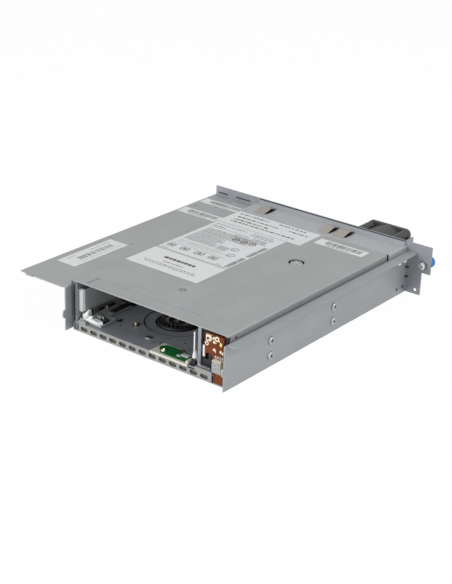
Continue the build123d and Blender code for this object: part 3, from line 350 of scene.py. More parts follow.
@dataclass(frozen=True)
class SheetSteel(Finish):
    """Zinc-coated sheet: fine rolled grain, soft mottling and a satin sheen."""

    grain: Grain = Grain.ALONG
    metallic: float = 0.42
    roughness: float = 0.46
    mottle: float = 0.06
    scratched: bool = False
    scratch_tone: Tone = (0.085, 0.07, 0.055)
    rubs: tuple[Rub, ...] = (Rub(0.0334, -0.012, 0.00022, (-0.004, 0.002), (0.03, 0.048)),
                             Rub(0.0268, 0.13, 0.0002, (-0.001, 0.004), (0.012, 0.02)))

    def material(self) -> bpy.types.Material:
        """Builds the material."""
        recipe = Recipe(self.name)
        grain = recipe.noise(2600.0, self.grain.value, 2.0)
        cloud = recipe.noise(34.0, detail=4.0)
        flecks = recipe.cells(900.0)
        share = cloud.fade(0.3, 0.7) * 0.65 + grain * 0.25 + flecks.fade(0.0, 0.8) * 0.1
        colour = recipe.mix(share, shade(self.tone, 1.0 - self.mottle), shade(self.tone, 1.0 + self.mottle))
        rough = grain * 0.08 + cloud * 0.06 + (self.roughness - 0.07)
        if self.scratched:
            mask = self.scratches(recipe)
            colour = recipe.mix(mask * 0.62, colour, self.scratch_tone)
            rough = rough + mask * 0.2
        normal = recipe.bump(grain * 0.6 + flecks * 0.4, 0.000018, 0.5)
        return recipe.finish(colour, Metallic=self.metallic, Roughness=rough, Normal=normal)

    def scratches(self, recipe: Recipe) -> Field:
        """Two hairline rub marks near the front of the right side, where the drive slides in."""
        _, y, z = recipe.axes()
        run = y - spot(0, 0, 0)[1]
        wander = (recipe.noise(70.0, detail=5.0) - 0.5) * 0.0016
        faint = recipe.noise(260.0, detail=2.0).fade(0.42, 0.62)
        upper, lower = (rub.mask(run, z - wander) for rub in self.rubs)
        return (upper + lower) * (faint * 0.7 + 0.3)


@dataclass(frozen=True)
class Casting(Finish):
    """Coated light-metal casting: fine orange-peel skin and cloudy tone."""

    roughness: float = 0.5

    def material(self) -> bpy.types.Material:
        """Builds the material."""
        recipe = Recipe(self.name)
        cloud = recipe.noise(45.0, detail=4.0)
        skin = recipe.noise(1500.0, detail=2.0)
        colour = recipe.mix(cloud.fade(0.3, 0.7), shade(self.tone, 0.88), shade(self.tone, 1.12))
        normal = recipe.bump(skin, 0.00004, 0.6)
        rough = skin * 0.1 + (self.roughness - 0.05)
        return recipe.finish(colour, Roughness=rough, Metallic=0.25, Normal=normal)


@dataclass(frozen=True)
class Moulding(Finish):
    """Moulded plastic: even tone, a faint texture and slightly uneven gloss."""

    roughness: float = 0.42
    texture: float = 900.0
    depth: float = 0.00002

    def material(self) -> bpy.types.Material:
        """Builds the material."""
        recipe = Recipe(self.name)
        skin = recipe.noise(self.texture, detail=2.0)
        cloud = recipe.noise(60.0, detail=3.0)
        colour = recipe.mix(cloud, shade(self.tone, 0.92), shade(self.tone, 1.06))
        rough = skin * 0.12 + (self.roughness - 0.06)
        return recipe.finish(colour, Roughness=rough, Normal=recipe.bump(skin, self.depth, 0.7))


@dataclass(frozen=True)
class TurnedMetal(Finish):
    """Bright or dark machined metal with fine tool marks."""

    roughness: float = 0.25

    def material(self) -> bpy.types.Material:
        """Builds the material."""
        recipe = Recipe(self.name)
        marks = recipe.noise(4200.0, (1.0, 1.0, 0.25), 2.0)
        cloud = recipe.noise(160.0, detail=3.0)
        colour = recipe.mix(cloud, shade(self.tone, 0.86), shade(self.tone, 1.1))
        rough = marks * 0.14 + (self.roughness - 0.04)
        normal = recipe.bump(marks, 0.00001, 0.5)
        return recipe.finish(colour, Metallic=1.0, Roughness=rough, Normal=normal)


@dataclass(frozen=True)
class BoardMask(Finish):
    """Circuit board under solder mask: copper runs show as lighter lines over a fine weave."""

    copper: Tone
    pitch: float
    stretch: Point = (1.0, 1.0, 1.0)

    def material(self) -> bpy.types.Material:
        """Builds the material."""
        recipe = Recipe(self.name)
        runs = recipe.noise(self.pitch, self.stretch, 1.0)
        lines = abs(runs - 0.5).below(0.03)
        weave = recipe.noise(3000.0, (1.0, 0.2, 0.2), 1.0)
        patch = recipe.noise(170.0, self.stretch, 2.0).fade(0.45, 0.6)
        ground = recipe.mix(patch, self.tone, shade(self.tone, 0.8))
        colour = recipe.mix(lines * 0.55, ground, self.copper)
        normal = recipe.bump(lines * 0.7 + weave * 0.3, 0.00004, 0.8)
        return recipe.finish(colour, Roughness=weave * 0.08 + 0.24, Normal=normal, Specular_IOR_Level=0.12)


@dataclass(frozen=True)
class Paper(Finish):
    """Coated label stock, very slightly uneven in tone and gloss."""

    roughness: float = 0.42

    def material(self) -> bpy.types.Material:
        """Builds the material."""
        recipe = Recipe(self.name)
        fibre = recipe.noise(1400.0, detail=3.0)
        cloud = recipe.noise(40.0, detail=2.0)
        colour = recipe.mix(cloud * 0.6 + fibre * 0.4, shade(self.tone, 0.96), shade(self.tone, 1.03))
        normal = recipe.bump(fibre, 0.000008, 0.5)
        return recipe.finish(colour, Roughness=fibre * 0.1 + (self.roughness - 0.05), Normal=normal)


class Shelf:
    """Makes each finish once and hands out its material."""

    def __init__(self) -> None:
        """Starts with no materials."""
        self.made: dict[Finish, bpy.types.Material] = {}

    def of(self, finish: Finish) -> bpy.types.Material:
        """Material of a finish, made when it is first asked for."""
        if finish not in self.made:
            self.made[finish] = finish.material()
        return self.made[finish]


STEEL = SheetSteel("zinc_steel", (0.33, 0.338, 0.343))
SIDE_STEEL = SheetSteel("side_steel", (0.308, 0.325, 0.335), scratched=True)
WING_STEEL = SheetSteel("wing_steel", (0.335, 0.345, 0.35))
REAR_STEEL = SheetSteel("rear_cover_steel", (0.385, 0.40, 0.412), mottle=0.05)
PLATE_STEEL = SheetSteel("plate_steel", (0.285, 0.30, 0.325), Grain.UP, metallic=0.5)
LIP_STEEL = SheetSteel("lip_steel", (0.285, 0.292, 0.29), Grain.ACROSS)
BAY_STEEL = SheetSteel("bay_steel", (0.52, 0.535, 0.54), Grain.ALONG, metallic=0.4, roughness=0.38)
# Dark steel tone for the rings painted into dimples as their shade.
DIMPLE_SHADE = SheetSteel("dimple_shade", (0.16, 0.166, 0.17))
# Rivet heads: a near-white, non-metal tone that stands for their highlights, a painted highlight.
RIVET_HIGHLIGHT = SheetSteel("rivet_painted_highlight", (0.86, 0.87, 0.88), Grain.UP, metallic=0.0, roughness=0.3)
DECK = Casting("deck_casting", (0.235, 0.247, 0.275))
DEEP = Casting("deck_shadow", (0.03, 0.031, 0.034))
BRONZE = SheetSteel("spring_strip", (0.33, 0.30, 0.275), Grain.ALONG, metallic=0.55, roughness=0.4)
BRIGHT = TurnedMetal("bright_steel", (0.72, 0.73, 0.74), 0.24)
SCREW = TurnedMetal("screw_steel", (0.47, 0.48, 0.49), 0.3)
ZINC = TurnedMetal("plated_steel", (0.55, 0.56, 0.57), 0.34)
BRASS = TurnedMetal("turned_brass", (0.92, 0.80, 0.60), 0.3)
FERRULE = TurnedMetal("ferrule_steel", (0.27, 0.28, 0.31), 0.2)
GOLD = TurnedMetal("gold_contact", (0.83, 0.62, 0.25), 0.22)
COPPER_BROWN = BoardMask("brown_board", (0.142, 0.036, 0.012), (0.20, 0.062, 0.024), 300.0, (1.0, 1.0, 0.16))
GREEN_BOARD = BoardMask("green_board", (0.010, 0.130, 0.030), (0.022, 0.21, 0.065), 420.0)
DARK_BOARD = BoardMask("logic_board", (0.012, 0.07, 0.035), (0.03, 0.16, 0.09), 300.0)
FAN_BLACK = Moulding("fan_black", (0.036, 0.036, 0.036), 0.46)
BLACK = Moulding("black_moulding", (0.014, 0.014, 0.015), 0.4)
REEL_GREY = Moulding("reel_moulding", (0.13, 0.132, 0.138), 0.45)
HUB_GREY = Moulding("hub_moulding", (0.40, 0.41, 0.41), 0.4)
KNOB_BLUE = Moulding("knob_blue", (0.035, 0.165, 0.52), 0.5)
CREAM = Moulding("cream_moulding", (0.58, 0.57, 0.49), 0.38)
DISPLAY_SIDE = Moulding("display_side", (0.72, 0.62, 0.48), 0.4)
WHITE = Moulding("white_moulding", (0.68, 0.69, 0.69), 0.3)
STRIP_GREY = Moulding("strip_moulding", (0.50, 0.51, 0.52), 0.36)
GREY = Moulding("grey_moulding", (0.34, 0.35, 0.35), 0.42)
DISPLAY_GREY = Moulding("display_face", (0.23, 0.245, 0.25), 0.22)
SEGMENT = Moulding("segment", (0.40, 0.41, 0.41), 0.3)
AMBER = Moulding("amber_lamp", (0.90, 0.62, 0.12), 0.25)
CLEAR_LAMP = Moulding("clear_lamp", (0.80, 0.70, 0.50), 0.25)
OLIVE = Moulding("board_edge", (0.075, 0.070, 0.048), 0.5)
SLOT_SHADE = Moulding("slot_shade", (0.055, 0.061, 0.066), 0.6)
SOLDER = TurnedMetal("solder", (0.70, 0.69, 0.66), 0.3)
PAPER = Paper("front_label", (0.645, 0.655, 0.66))
FILM = Paper("long_label", (0.63, 0.64, 0.65))
PRINT_DARK = Moulding("print_dark", (0.045, 0.045, 0.048), 0.5)
PRINT_GREY = Moulding("print_grey", (0.15, 0.15, 0.155), 0.5)
PRINT_PALE = Moulding("print_pale", (0.30, 0.30, 0.305), 0.5)

NODE_FINISHES = {
    "top_cover": STEEL, "bottom_cover": LIP_STEEL, "main_frame": DECK, "left_bracket": WING_STEEL,
    "right_bracket": SIDE_STEEL, "rear_plate": PLATE_STEEL, "rear_cover": REAR_STEEL, "rear_floor": STEEL,
    "grounding_springs": BRONZE, "left_side_screws": SCREW, "right_side_screws": SCREW, "tray_rivets": RIVET_HIGHLIGHT,
    "fan_frame": FAN_BLACK, "fan_rotor": FAN_BLACK, "fan_screws": ZINC, "main_board": DARK_BOARD,
    "board_spacers": ZINC, "reel_motor": BLACK, "reel_clutch": BLACK, "takeup_motor": BLACK,
    "takeup_reel": REEL_GREY, "roller_pins": ZINC, "head_posts": ZINC, "tape_head": BLACK, "arm_pin": ZINC,
    "threading_arm": ZINC, "left_bay_guide": BAY_STEEL, "right_bay_wall": BAY_STEEL, "bay_roof_guide": STEEL,
    "reader_holder": CREAM, "reader_board": GREEN_BOARD, "loader_carriage": BAY_STEEL,
    "cartridge_latch": WHITE, "feeler_bracket": BLACK, "cartridge_feeler": WHITE, "locating_pins": BRASS,
    "operator_board": COPPER_BROWN,
    "board_mount": DECK, "status_display": DISPLAY_SIDE, "display_pins": SOLDER, "status_leds": CLEAR_LAMP,
    "eject_switch": DISPLAY_SIDE, "eject_plunger": BLACK, "media_sensor": BLACK,
    "interface_board": GREEN_BOARD,
    "data_port": ZINC, "network_port": ZINC, "right_screw_ferrule": FERRULE, "left_screw_ferrule": FERRULE,
    "right_screw_washer": ZINC, "left_screw_washer": ZINC, "right_thumbscrew_shaft": BRIGHT,
    "left_thumbscrew_shaft": BRIGHT, "right_thumbscrew_knob": KNOB_BLUE, "left_thumbscrew_knob": KNOB_BLUE,
    "tape_roller_1": BLACK, "tape_roller_2": BLACK, "tape_roller_3": BLACK, "tape_roller_4": BLACK,
}


class Workshop:
    """Turns finished bmeshes into pieces that ride on the drive."""

    def __init__(self) -> None:
        """Opens with an empty shelf of materials."""
        self.shelf = Shelf()

    def piece(self, name: str, bm: bmesh.types.BMesh, finishes: Sequence[Finish], body: str, slot: str,
              smooth: bool = True) -> bpy.types.Object:
        """Closes a bmesh into an object.

        Args:
            name: The piece's name.
            bm: The mesh, which is freed.
            finishes: Finishes in the order of the faces' material numbers.
            body: The body that it rides on.
            slot: Name of a material slot; not used.
            smooth: Whether gentle edges are smoothed.

        Returns:
            The object.
        """
        bmesh.ops.recalc_face_normals(bm, faces=bm.faces)
        for face in bm.faces:
            face.smooth = smooth
        mesh = bpy.data.meshes.new(name)
        bm.to_mesh(mesh)
        bm.free()
        if smooth:
            mesh.set_sharp_from_angle(angle=SMOOTH_ANGLE)
        for finish in finishes:
            mesh.materials.append(self.shelf.of(finish))
        piece = bpy.data.objects.new(name, mesh)
        bpy.context.scene.collection.objects.link(piece)
        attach(piece, body)
        log.info("piece %s, %d faces", name, len(mesh.polygons))
        return piece

    def dress(self, node: str, finish: Finish) -> None:
        """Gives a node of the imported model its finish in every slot."""
        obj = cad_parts[node]
        material = self.shelf.of(finish)
        if not obj.material_slots:
            obj.data.materials.append(material)
        for slot in obj.material_slots:
            slot.material = material


def paint(faces: Iterable[bmesh.types.BMFace], number: int) -> None:
    """Gives faces a material number."""
    for face in faces:
        face.material_index = number


def faces_of(verts: Iterable[bmesh.types.BMVert]) -> set[bmesh.types.BMFace]:
    """Every face that touches some vertices."""
    return {face for vert in verts for face in vert.link_faces}


def stretched(size: Point) -> Matrix:
    """Matrix that makes a unit cube a block of a size in millimetres."""
    return Matrix.Diagonal((*(Vector(size) * MM), 1.0))


def cube(bm: bmesh.types.BMesh, matrix: Matrix, number: int = 0) -> set[bmesh.types.BMFace]:
    """Adds a unit cube under a matrix.

    Args:
        bm: The mesh.
        matrix: Place, turn and size.
        number: Material number.

    Returns:
        The cube's faces.
    """
    faces = faces_of(bmesh.ops.create_cube(bm, size=1.0, matrix=matrix)["verts"])
    paint(faces, number)
    return faces


def slab(bm: bmesh.types.BMesh, low: Vector, high: Vector, number: int = 0, round_off: float = 0.0) -> None:
    """Adds a box between two corners.

    Args:
        bm: The mesh.
        low: Lowest corner.
        high: Highest corner.
        number: Material number.
        round_off: Width of the rounded edges, or 0.
    """
    faces = cube(bm, Matrix.Translation((low + high) / 2) @ Matrix.Diagonal((*(high - low), 1.0)), number)
    if round_off:
        edges = list({edge for face in faces for edge in face.edges})
        bmesh.ops.bevel(bm, geom=edges, offset=round_off, affect="EDGES", segments=2, profile=0.5,
                        material=-1)


def lathe(bm: bmesh.types.BMesh, profile: Sequence[Pair], place: Matrix, steps: int, number: int = 0) -> None:
    """Spins a profile about its local Z axis.

    Args:
        bm: The mesh.
        profile: Radius and height of each point, in millimetres, from one end to the other.
        place: Where the local frame stands.
        steps: Steps round the axis.
        number: Material number.
    """
    verts = [bm.verts.new(place @ Vector((radius * MM, 0.0, height * MM))) for radius, height in profile]
    edges = [bm.edges.new(pair) for pair in zip(verts, verts[1:])]
    axis = place.to_3x3() @ Vector((0.0, 0.0, 1.0))
    before = set(bm.faces)
    bmesh.ops.spin(bm, geom=verts + edges, cent=place.translation, axis=axis, angle=math.tau, steps=steps,
                   use_merge=True, use_normal_flip=False)
    bmesh.ops.remove_doubles(bm, verts=bm.verts, dist=1e-7)
    paint((face for face in bm.faces if face not in before), number)


def disc(bm: bmesh.types.BMesh, place: Matrix, radius: float, steps: int, number: int = 0) -> None:
    """Adds a flat disc of a radius in millimetres."""
    made = bmesh.ops.create_circle(bm, cap_ends=True, segments=steps, radius=radius * MM, matrix=place)
    paint(faces_of(made["verts"]), number)


def facing(direction: Point, at: Vector) -> Matrix:
    """Frame at a point with its Z axis along a direction."""
    return Matrix.Translation(at) @ Vector(direction).to_track_quat("Z", "Y").to_matrix().to_4x4()


@dataclass(frozen=True)
class Brick:
    """A block between two places on the drive, with its material number and rounding."""

    low: Point
    high: Point
    number: int = 0
    rounding: float = 0.0

    def lay(self, bm: bmesh.types.BMesh, origin: Vector | None = None) -> None:
        """Adds the block, with its places counted from the drive's own origin or from another."""
        start = spot(0, 0, 0) if origin is None else origin
        low, high = start + Vector(self.low) * MM, start + Vector(self.high) * MM
        slab(bm, low, high, self.number, self.rounding * MM)


@dataclass(frozen=True)
class Turning:
    """A turned shape: radius and height of its profile in millimetres, steps and material number."""

    profile: Outline
    steps: int
    number: int = 0

    def stand(self, bm: bmesh.types.BMesh, direction: Point, at: Vector) -> None:
        """Adds the shape at a point, with its axis along a direction."""
        lathe(bm, self.profile, facing(direction, at), self.steps, self.number)


@dataclass
class Fitting:
    """A group of pieces that belong together, made in a workshop."""

    shop: Workshop


@dataclass
class ScrewHeads(Fitting):
    """Pan heads with a cross recess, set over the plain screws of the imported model."""

    radius: float = 3.1
    height: float = 1.4
    recess: float = 1.75
    arm: float = 0.42
    depth: float = 0.85
    proud: float = 0.04
    floor_gap: float = 0.05
    crown: float = 0.62
    steps: int = 24
    skirt: Outline = ((0.62, 1.0), (0.82, 0.9), (0.95, 0.66), (1.0, 0.3), (1.0, 0.0))
    holes: Outline = ((46.5, 9.9), (46.5, 21.8), (125.75, 9.9), (125.75, 21.8))

    def head(self, bm: bmesh.types.BMesh, place: Matrix) -> None:
        """Adds one head that stands on the place's origin, with its top towards Z.

        Args:
            bm: The mesh.
            place: Where the head sits.
        """
        top = place @ Matrix.Translation((0, 0, self.height * MM))
        crown = self.radius * self.crown * MM
        rim = bmesh.ops.create_circle(bm, segments=self.steps, radius=crown, matrix=top)
        corner = ((self.recess, -self.arm), (self.recess, self.arm), (self.arm, self.arm))
        quarters = [Matrix.Rotation(turn * math.pi / 2, 4, "Z") for turn in range(4)]
        points = [quarter @ Vector((x, y, self.proud)) * MM for quarter in quarters for x, y in corner]
        cross = [bm.verts.new(top @ point) for point in points]
        loop = [bm.edges.new(pair) for pair in zip(cross, cross[1:] + cross[:1])]
        ring = list({edge for vert in rim["verts"] for edge in vert.link_edges})
        bmesh.ops.bridge_loops(bm, edges=ring + loop)
        grown = bmesh.ops.extrude_edge_only(bm, edges=loop)["geom"]
        sunk = [item for item in grown if isinstance(item, bmesh.types.BMVert)]
        bmesh.ops.translate(bm, verts=sunk, vec=place.to_3x3() @ Vector((0.0, 0.0, -self.depth * MM)))
        bottom = [item for item in grown if isinstance(item, bmesh.types.BMEdge)
                  and all(vert in sunk for vert in item.verts)]
        bmesh.ops.contextual_create(bm, geom=bottom)
        profile = [(self.radius * share, self.height * rise) for share, rise in self.skirt]
        lathe(bm, profile, place, self.steps)
        # The black disc at the floor of the cross recess is painted shade.
        floor = Matrix.Translation((0, 0, (self.floor_gap - self.depth) * MM))
        disc(bm, top @ floor, self.recess, 12, 1)

    def build(self) -> None:
        """Builds the heads of the side screws."""
        for side, sign, end in (("right", 1.0, 1), ("left", -1.0, 0)):
            bm = bmesh.new()
            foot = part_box(f"{side}_side_screws")[end][0] - sign * self.height * MM
            for number, (y, z) in enumerate(self.holes):
                at = Vector((foot, spot(0, y, 0)[1], z * MM))
                turn = Matrix.Rotation(0.5 + number * 1.1, 4, "Z")
                self.head(bm, facing((sign, 0, 0), at) @ turn)
            piece = self.shop.piece(f"{side}_screw_heads", bm, [SCREW, BLACK], "tray", "screw_steel")
            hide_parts(f"{side}_side_screws")


class Ink(IntEnum):
    """Material numbers of a label's inks."""

    DARK = 1
    GREY = 2
    PALE = 3


@dataclass
class Label:
    """A sticker with plain printed rules, bars and stripes, lying on a flat surface.

    An area on it is its left, right, front and back, in millimetres from the front left corner.
    """

    name: str
    x: Pair
    y: Pair
    surface: float
    stock: Finish
    seed: int
    thickness: float = 0.09
    ink_rise: float = 0.02

    def __post_init__(self) -> None:
        """Lays the stock down."""
        self.bm = bmesh.new()
        self.random = random.Random(self.seed)
        top = self.surface + self.thickness
        Brick((self.x[0], self.y[0], self.surface), (self.x[1], self.y[1], top), 0, 0.03).lay(self.bm)

    def place(self, x: float, y: float) -> Vector:
        """A place on the label's print."""
        return spot(self.x[0] + x, self.y[0] + y, self.surface + self.thickness + self.ink_rise)

    def bar(self, area: Area, ink: Ink) -> None:
        """Prints one rectangle."""
        left, right, front, back = area
        outline = ((left, front), (right, front), (right, back), (left, back))
        face = self.bm.faces.new([self.bm.verts.new(self.place(x, y)) for x, y in outline])
        face.material_index = ink

    def line(self, span: Pair, y: float, tall: float, ink: Ink, word: float = 2.2) -> None:
        """Prints one row of short bars, as a line of print looks from afar.

        Args:
            span: Left and right ends.
            y: Front edge of the row.
            tall: Height of a bar.
            ink: The ink.
            word: Length of a common bar, in heights.
        """
        x, end = span
        while x < end - tall * 0.5:
            length = min(self.random.uniform(0.4, 1.6) * word * tall, end - x)
            inset = self.random.uniform(0.0, 0.16) * tall
            self.bar((x, x + length, y + inset, y + tall - inset), ink)
            x += length + self.random.uniform(0.35, 0.75) * tall

    def words(self, area: Area, pitch: float, tall: float, ink: Ink) -> None:
        """Fills an area with rows of short bars whose right ends are uneven.

        Args:
            area: Where.
            pitch: Distance between rows.
            tall: Height of a bar.
            ink: The ink.
        """
        left, right, front, back = area
        for row in range(int((back - front) / pitch)):
            end = right - self.random.uniform(0.0, 0.18) * (right - left)
            self.line((left, end), front + row * pitch, tall, ink)

    def ring(self, x: float, y: float, radius: float, width: float, ink: Ink) -> None:
        """Prints a plain ring.

        Args:
            x: Centre from the left.
            y: Centre from the front.
            radius: Outer radius.
            width: Width of the line.
            ink: The ink.
        """
        at = Matrix.Translation(self.place(x, y))
        verts = []
        for size in (radius, radius - width):
            verts += bmesh.ops.create_circle(self.bm, segments=28, radius=size * MM, matrix=at)["verts"]
        edges = list({edge for vert in verts for edge in vert.link_edges})
        paint(bmesh.ops.bridge_loops(self.bm, edges=edges)["faces"], ink)

    def stripes(self, area: Area, ink: Ink, along_y: bool = False, pitch: float = 1.0) -> None:
        """Prints a run of plain stripes of uneven width.

        Args:
            area: Where.
            ink: The ink.
            along_y: Whether the run goes along Y.
            pitch: How much coarser than usual the run is.
        """
        left, right, front, back = area
        start, end = (front, back) if along_y else (left, right)
        while start < end:
            width = self.random.choice((0.22, 0.22, 0.44, 0.66)) * pitch
            stop = min(start + width, end)
            self.bar((left, right, start, stop) if along_y else (start, stop, front, back), ink)
            start += width + self.random.choice((0.25, 0.25, 0.5)) * pitch

    def frame(self, area: Area, width: float, ink: Ink) -> None:
        """Prints a rectangle's outline with a line of some width."""
        left, right, front, back = area
        self.bar((left, right, front, front + width), ink)
        self.bar((left, right, back - width, back), ink)
        self.bar((left, left + width, front + width, back - width), ink)
        self.bar((right - width, right, front + width, back - width), ink)

    def end(self, shop: Workshop) -> None:
        """Closes the label into a piece."""
        finishes = [self.stock, PRINT_DARK, PRINT_GREY, PRINT_PALE]
        shop.piece(self.name, self.bm, finishes, "tray", "zinc_steel", smooth=False)


@dataclass
class Labels(Fitting):
    """The stickers on the top cover and the wing."""

    heading: tuple[float, ...] = (4.4, 2.6, 3.2, 3.6, 2.2, 3.0, 3.4, 2.8)
    heading_left: float = 19.4
    heading_gap: float = 0.7
    strip_rows: tuple[Point, ...] = ((4.5, 34.5, 24.6), (7.0, 48.0, 17.8), (7.8, 43.0, 11.8),
                                     (7.8, 72.0, 6.8), (44.0, 73.0, 25.4), (59.0, 77.0, 18.6))
    edge_bars: Outline = ((7.0, 13.0), (14.0, 17.0), (33.0, 38.0), (39.0, 44.0), (46.0, 55.0))
    dashes: Area = (11.0, 56.0, 1.2, 2.1)

    def front(self) -> None:
        """White label at the front, with a heading bar and three rows of print."""
        label = Label("front_label", (1.6, 72.0), (56.0, 91.4), top_of("top_cover"), PAPER, 3)
        x = self.heading_left
        for width in self.heading:
            label.bar((x, x + width, 21.9, 25.3), Ink.DARK)
            x += width + self.heading_gap
        label.line((24.0, 43.5), 15.6, 1.5, Ink.GREY)
        label.line((9.5, 60.0), 10.8, 1.1, Ink.GREY)
        label.line((11.5, 61.0), 8.4, 1.1, Ink.GREY)
        label.end(self.shop)

    def data(self) -> None:
        """Long label of small print, plain marks and two runs of stripes."""
        label = Label("data_label", (2.0, 71.6), (92.4, 169.0), top_of("top_cover"), FILM, 8)
        label.bar((0.6, 67.0, 0.5, 1.0), Ink.DARK)
        for span in ((2.0, 9.0), (57.0, 62.0)):
            label.line(span, 2.6, 0.9, Ink.GREY)
        self.marks(label)
        label.line((1.5, 56.0), 15.6, 0.9, Ink.PALE, 3.0)
        label.words((4.0, 54.0, 19.4, 27.0), 2.3, 0.9, Ink.PALE)
        for area in ((4.0, 36.0, 28.0, 47.0), (4.4, 56.0, 47.5, 61.5), (36.0, 47.0, 27.0, 37.0)):
            label.words(area, 1.46, 0.85, Ink.GREY)
        label.bar((1.2, 42.0, 64.2, 64.6), Ink.GREY)
        label.line((3.0, 16.0), 66.4, 1.6, Ink.GREY)
        label.line((3.0, 34.0), 71.2, 1.4, Ink.GREY)
        label.words((30.0, 45.0, 58.0, 66.0), 2.1, 1.0, Ink.PALE)
        label.words((47.0, 63.0, 57.0, 66.0), 2.2, 1.0, Ink.GREY)
        label.words((40.0, 64.0, 67.0, 75.0), 2.6, 1.1, Ink.GREY)
        label.frame((46.0, 60.0, 58.8, 62.8), 0.3, Ink.GREY)
        for front, back in ((2.6, 26.0), (30.0, 55.0)):
            label.stripes((64.6, 68.4, front, back), Ink.DARK, along_y=True)
        label.end(self.shop)

    @staticmethod
    def marks(label: Label) -> None:
        """Plain marks along the front of the long label, and round ones at its right.

        Args:
            label: The label.
        """
        for x, width in ((3.0, 7.0), (16.0, 8.0), (30.0, 9.0), (44.0, 8.0)):
            label.frame((x, x + width, 7.6, 13.4), 1.0, Ink.GREY)
            label.bar((x + width * 0.3, x + width * 0.7, 9.2, 11.8), Ink.GREY)
        for x in (37.5, 45.7, 53.7):
            label.ring(x, 53.2, 3.2, 0.9, Ink.DARK)
            label.bar((x - 1.3, x + 1.3, 52.6, 54.0), Ink.DARK)
        for x, y in ((50.2, 35.4), (55.0, 23.6)):
            label.ring(x, y, 3.4, 0.7, Ink.GREY)
            label.words((x - 2.0, x + 2.0, y - 1.6, y + 1.8), 1.3, 0.7, Ink.GREY)

    def strip(self) -> None:
        """Pale strip with rows of larger print behind the long label."""
        label = Label("strip_label", (1.0, 84.0), (170.0, 200.6), top_of("top_cover"), FILM, 5)
        for left, right, y in self.strip_rows:
            label.line((left, right), y, 2.1, Ink.DARK, 1.3)
        label.end(self.shop)

    def striped(self, name: str, area: Area, carrier: str, seed: int) -> None:
        """Small label with one run of stripes along X.

        Args:
            name: The piece's name.
            area: Left, right, front and back on the drive.
            carrier: The node that it lies on.
            seed: Seed of the stripes.
        """
        left, right, front, back = area
        label = Label(name, (left, right), (front, back), top_of(carrier), PAPER, seed)
        width, depth = right - left, back - front
        label.stripes((width * 0.17, width * 0.9, depth * 0.3, depth * 0.82), Ink.DARK, pitch=1.7)
        label.line((width * 0.25, width * 0.7), depth * 0.1, depth * 0.1, Ink.GREY)
        label.end(self.shop)

    def wing_front(self) -> None:
        """Label on the wing with its stripes along Y."""
        label = Label("wing_label", (-42.0, -23.0), (26.0, 86.4), top_of("left_bracket"), PAPER, 11)
        label.stripes((7.2, 12.4, 14.0, 52.0), Ink.GREY, along_y=True, pitch=2.4)
        for front, back in self.edge_bars:
            label.bar((3.2, 4.0, front, back), Ink.PALE)
        y, end, length, pitch = self.dashes
        while y < end:
            label.bar((14.8, 15.6, y, y + length), Ink.PALE)
            y += pitch
        label.end(self.shop)

    def build(self) -> None:
        """Lays every sticker."""
        self.front()
        self.data()
        self.strip()
        self.striped("rear_stripe_label", (88.5, 134.0, 183.0, 195.0), "top_cover", 21)
        self.wing_front()
        self.striped("wing_stripe_label", (-46.2, -4.6, 174.6, 186.4), "left_bracket", 22)
        self.striped("wing_rear_label", (-46.2, -1.4, 204.6, 215.0), "left_bracket", 23)


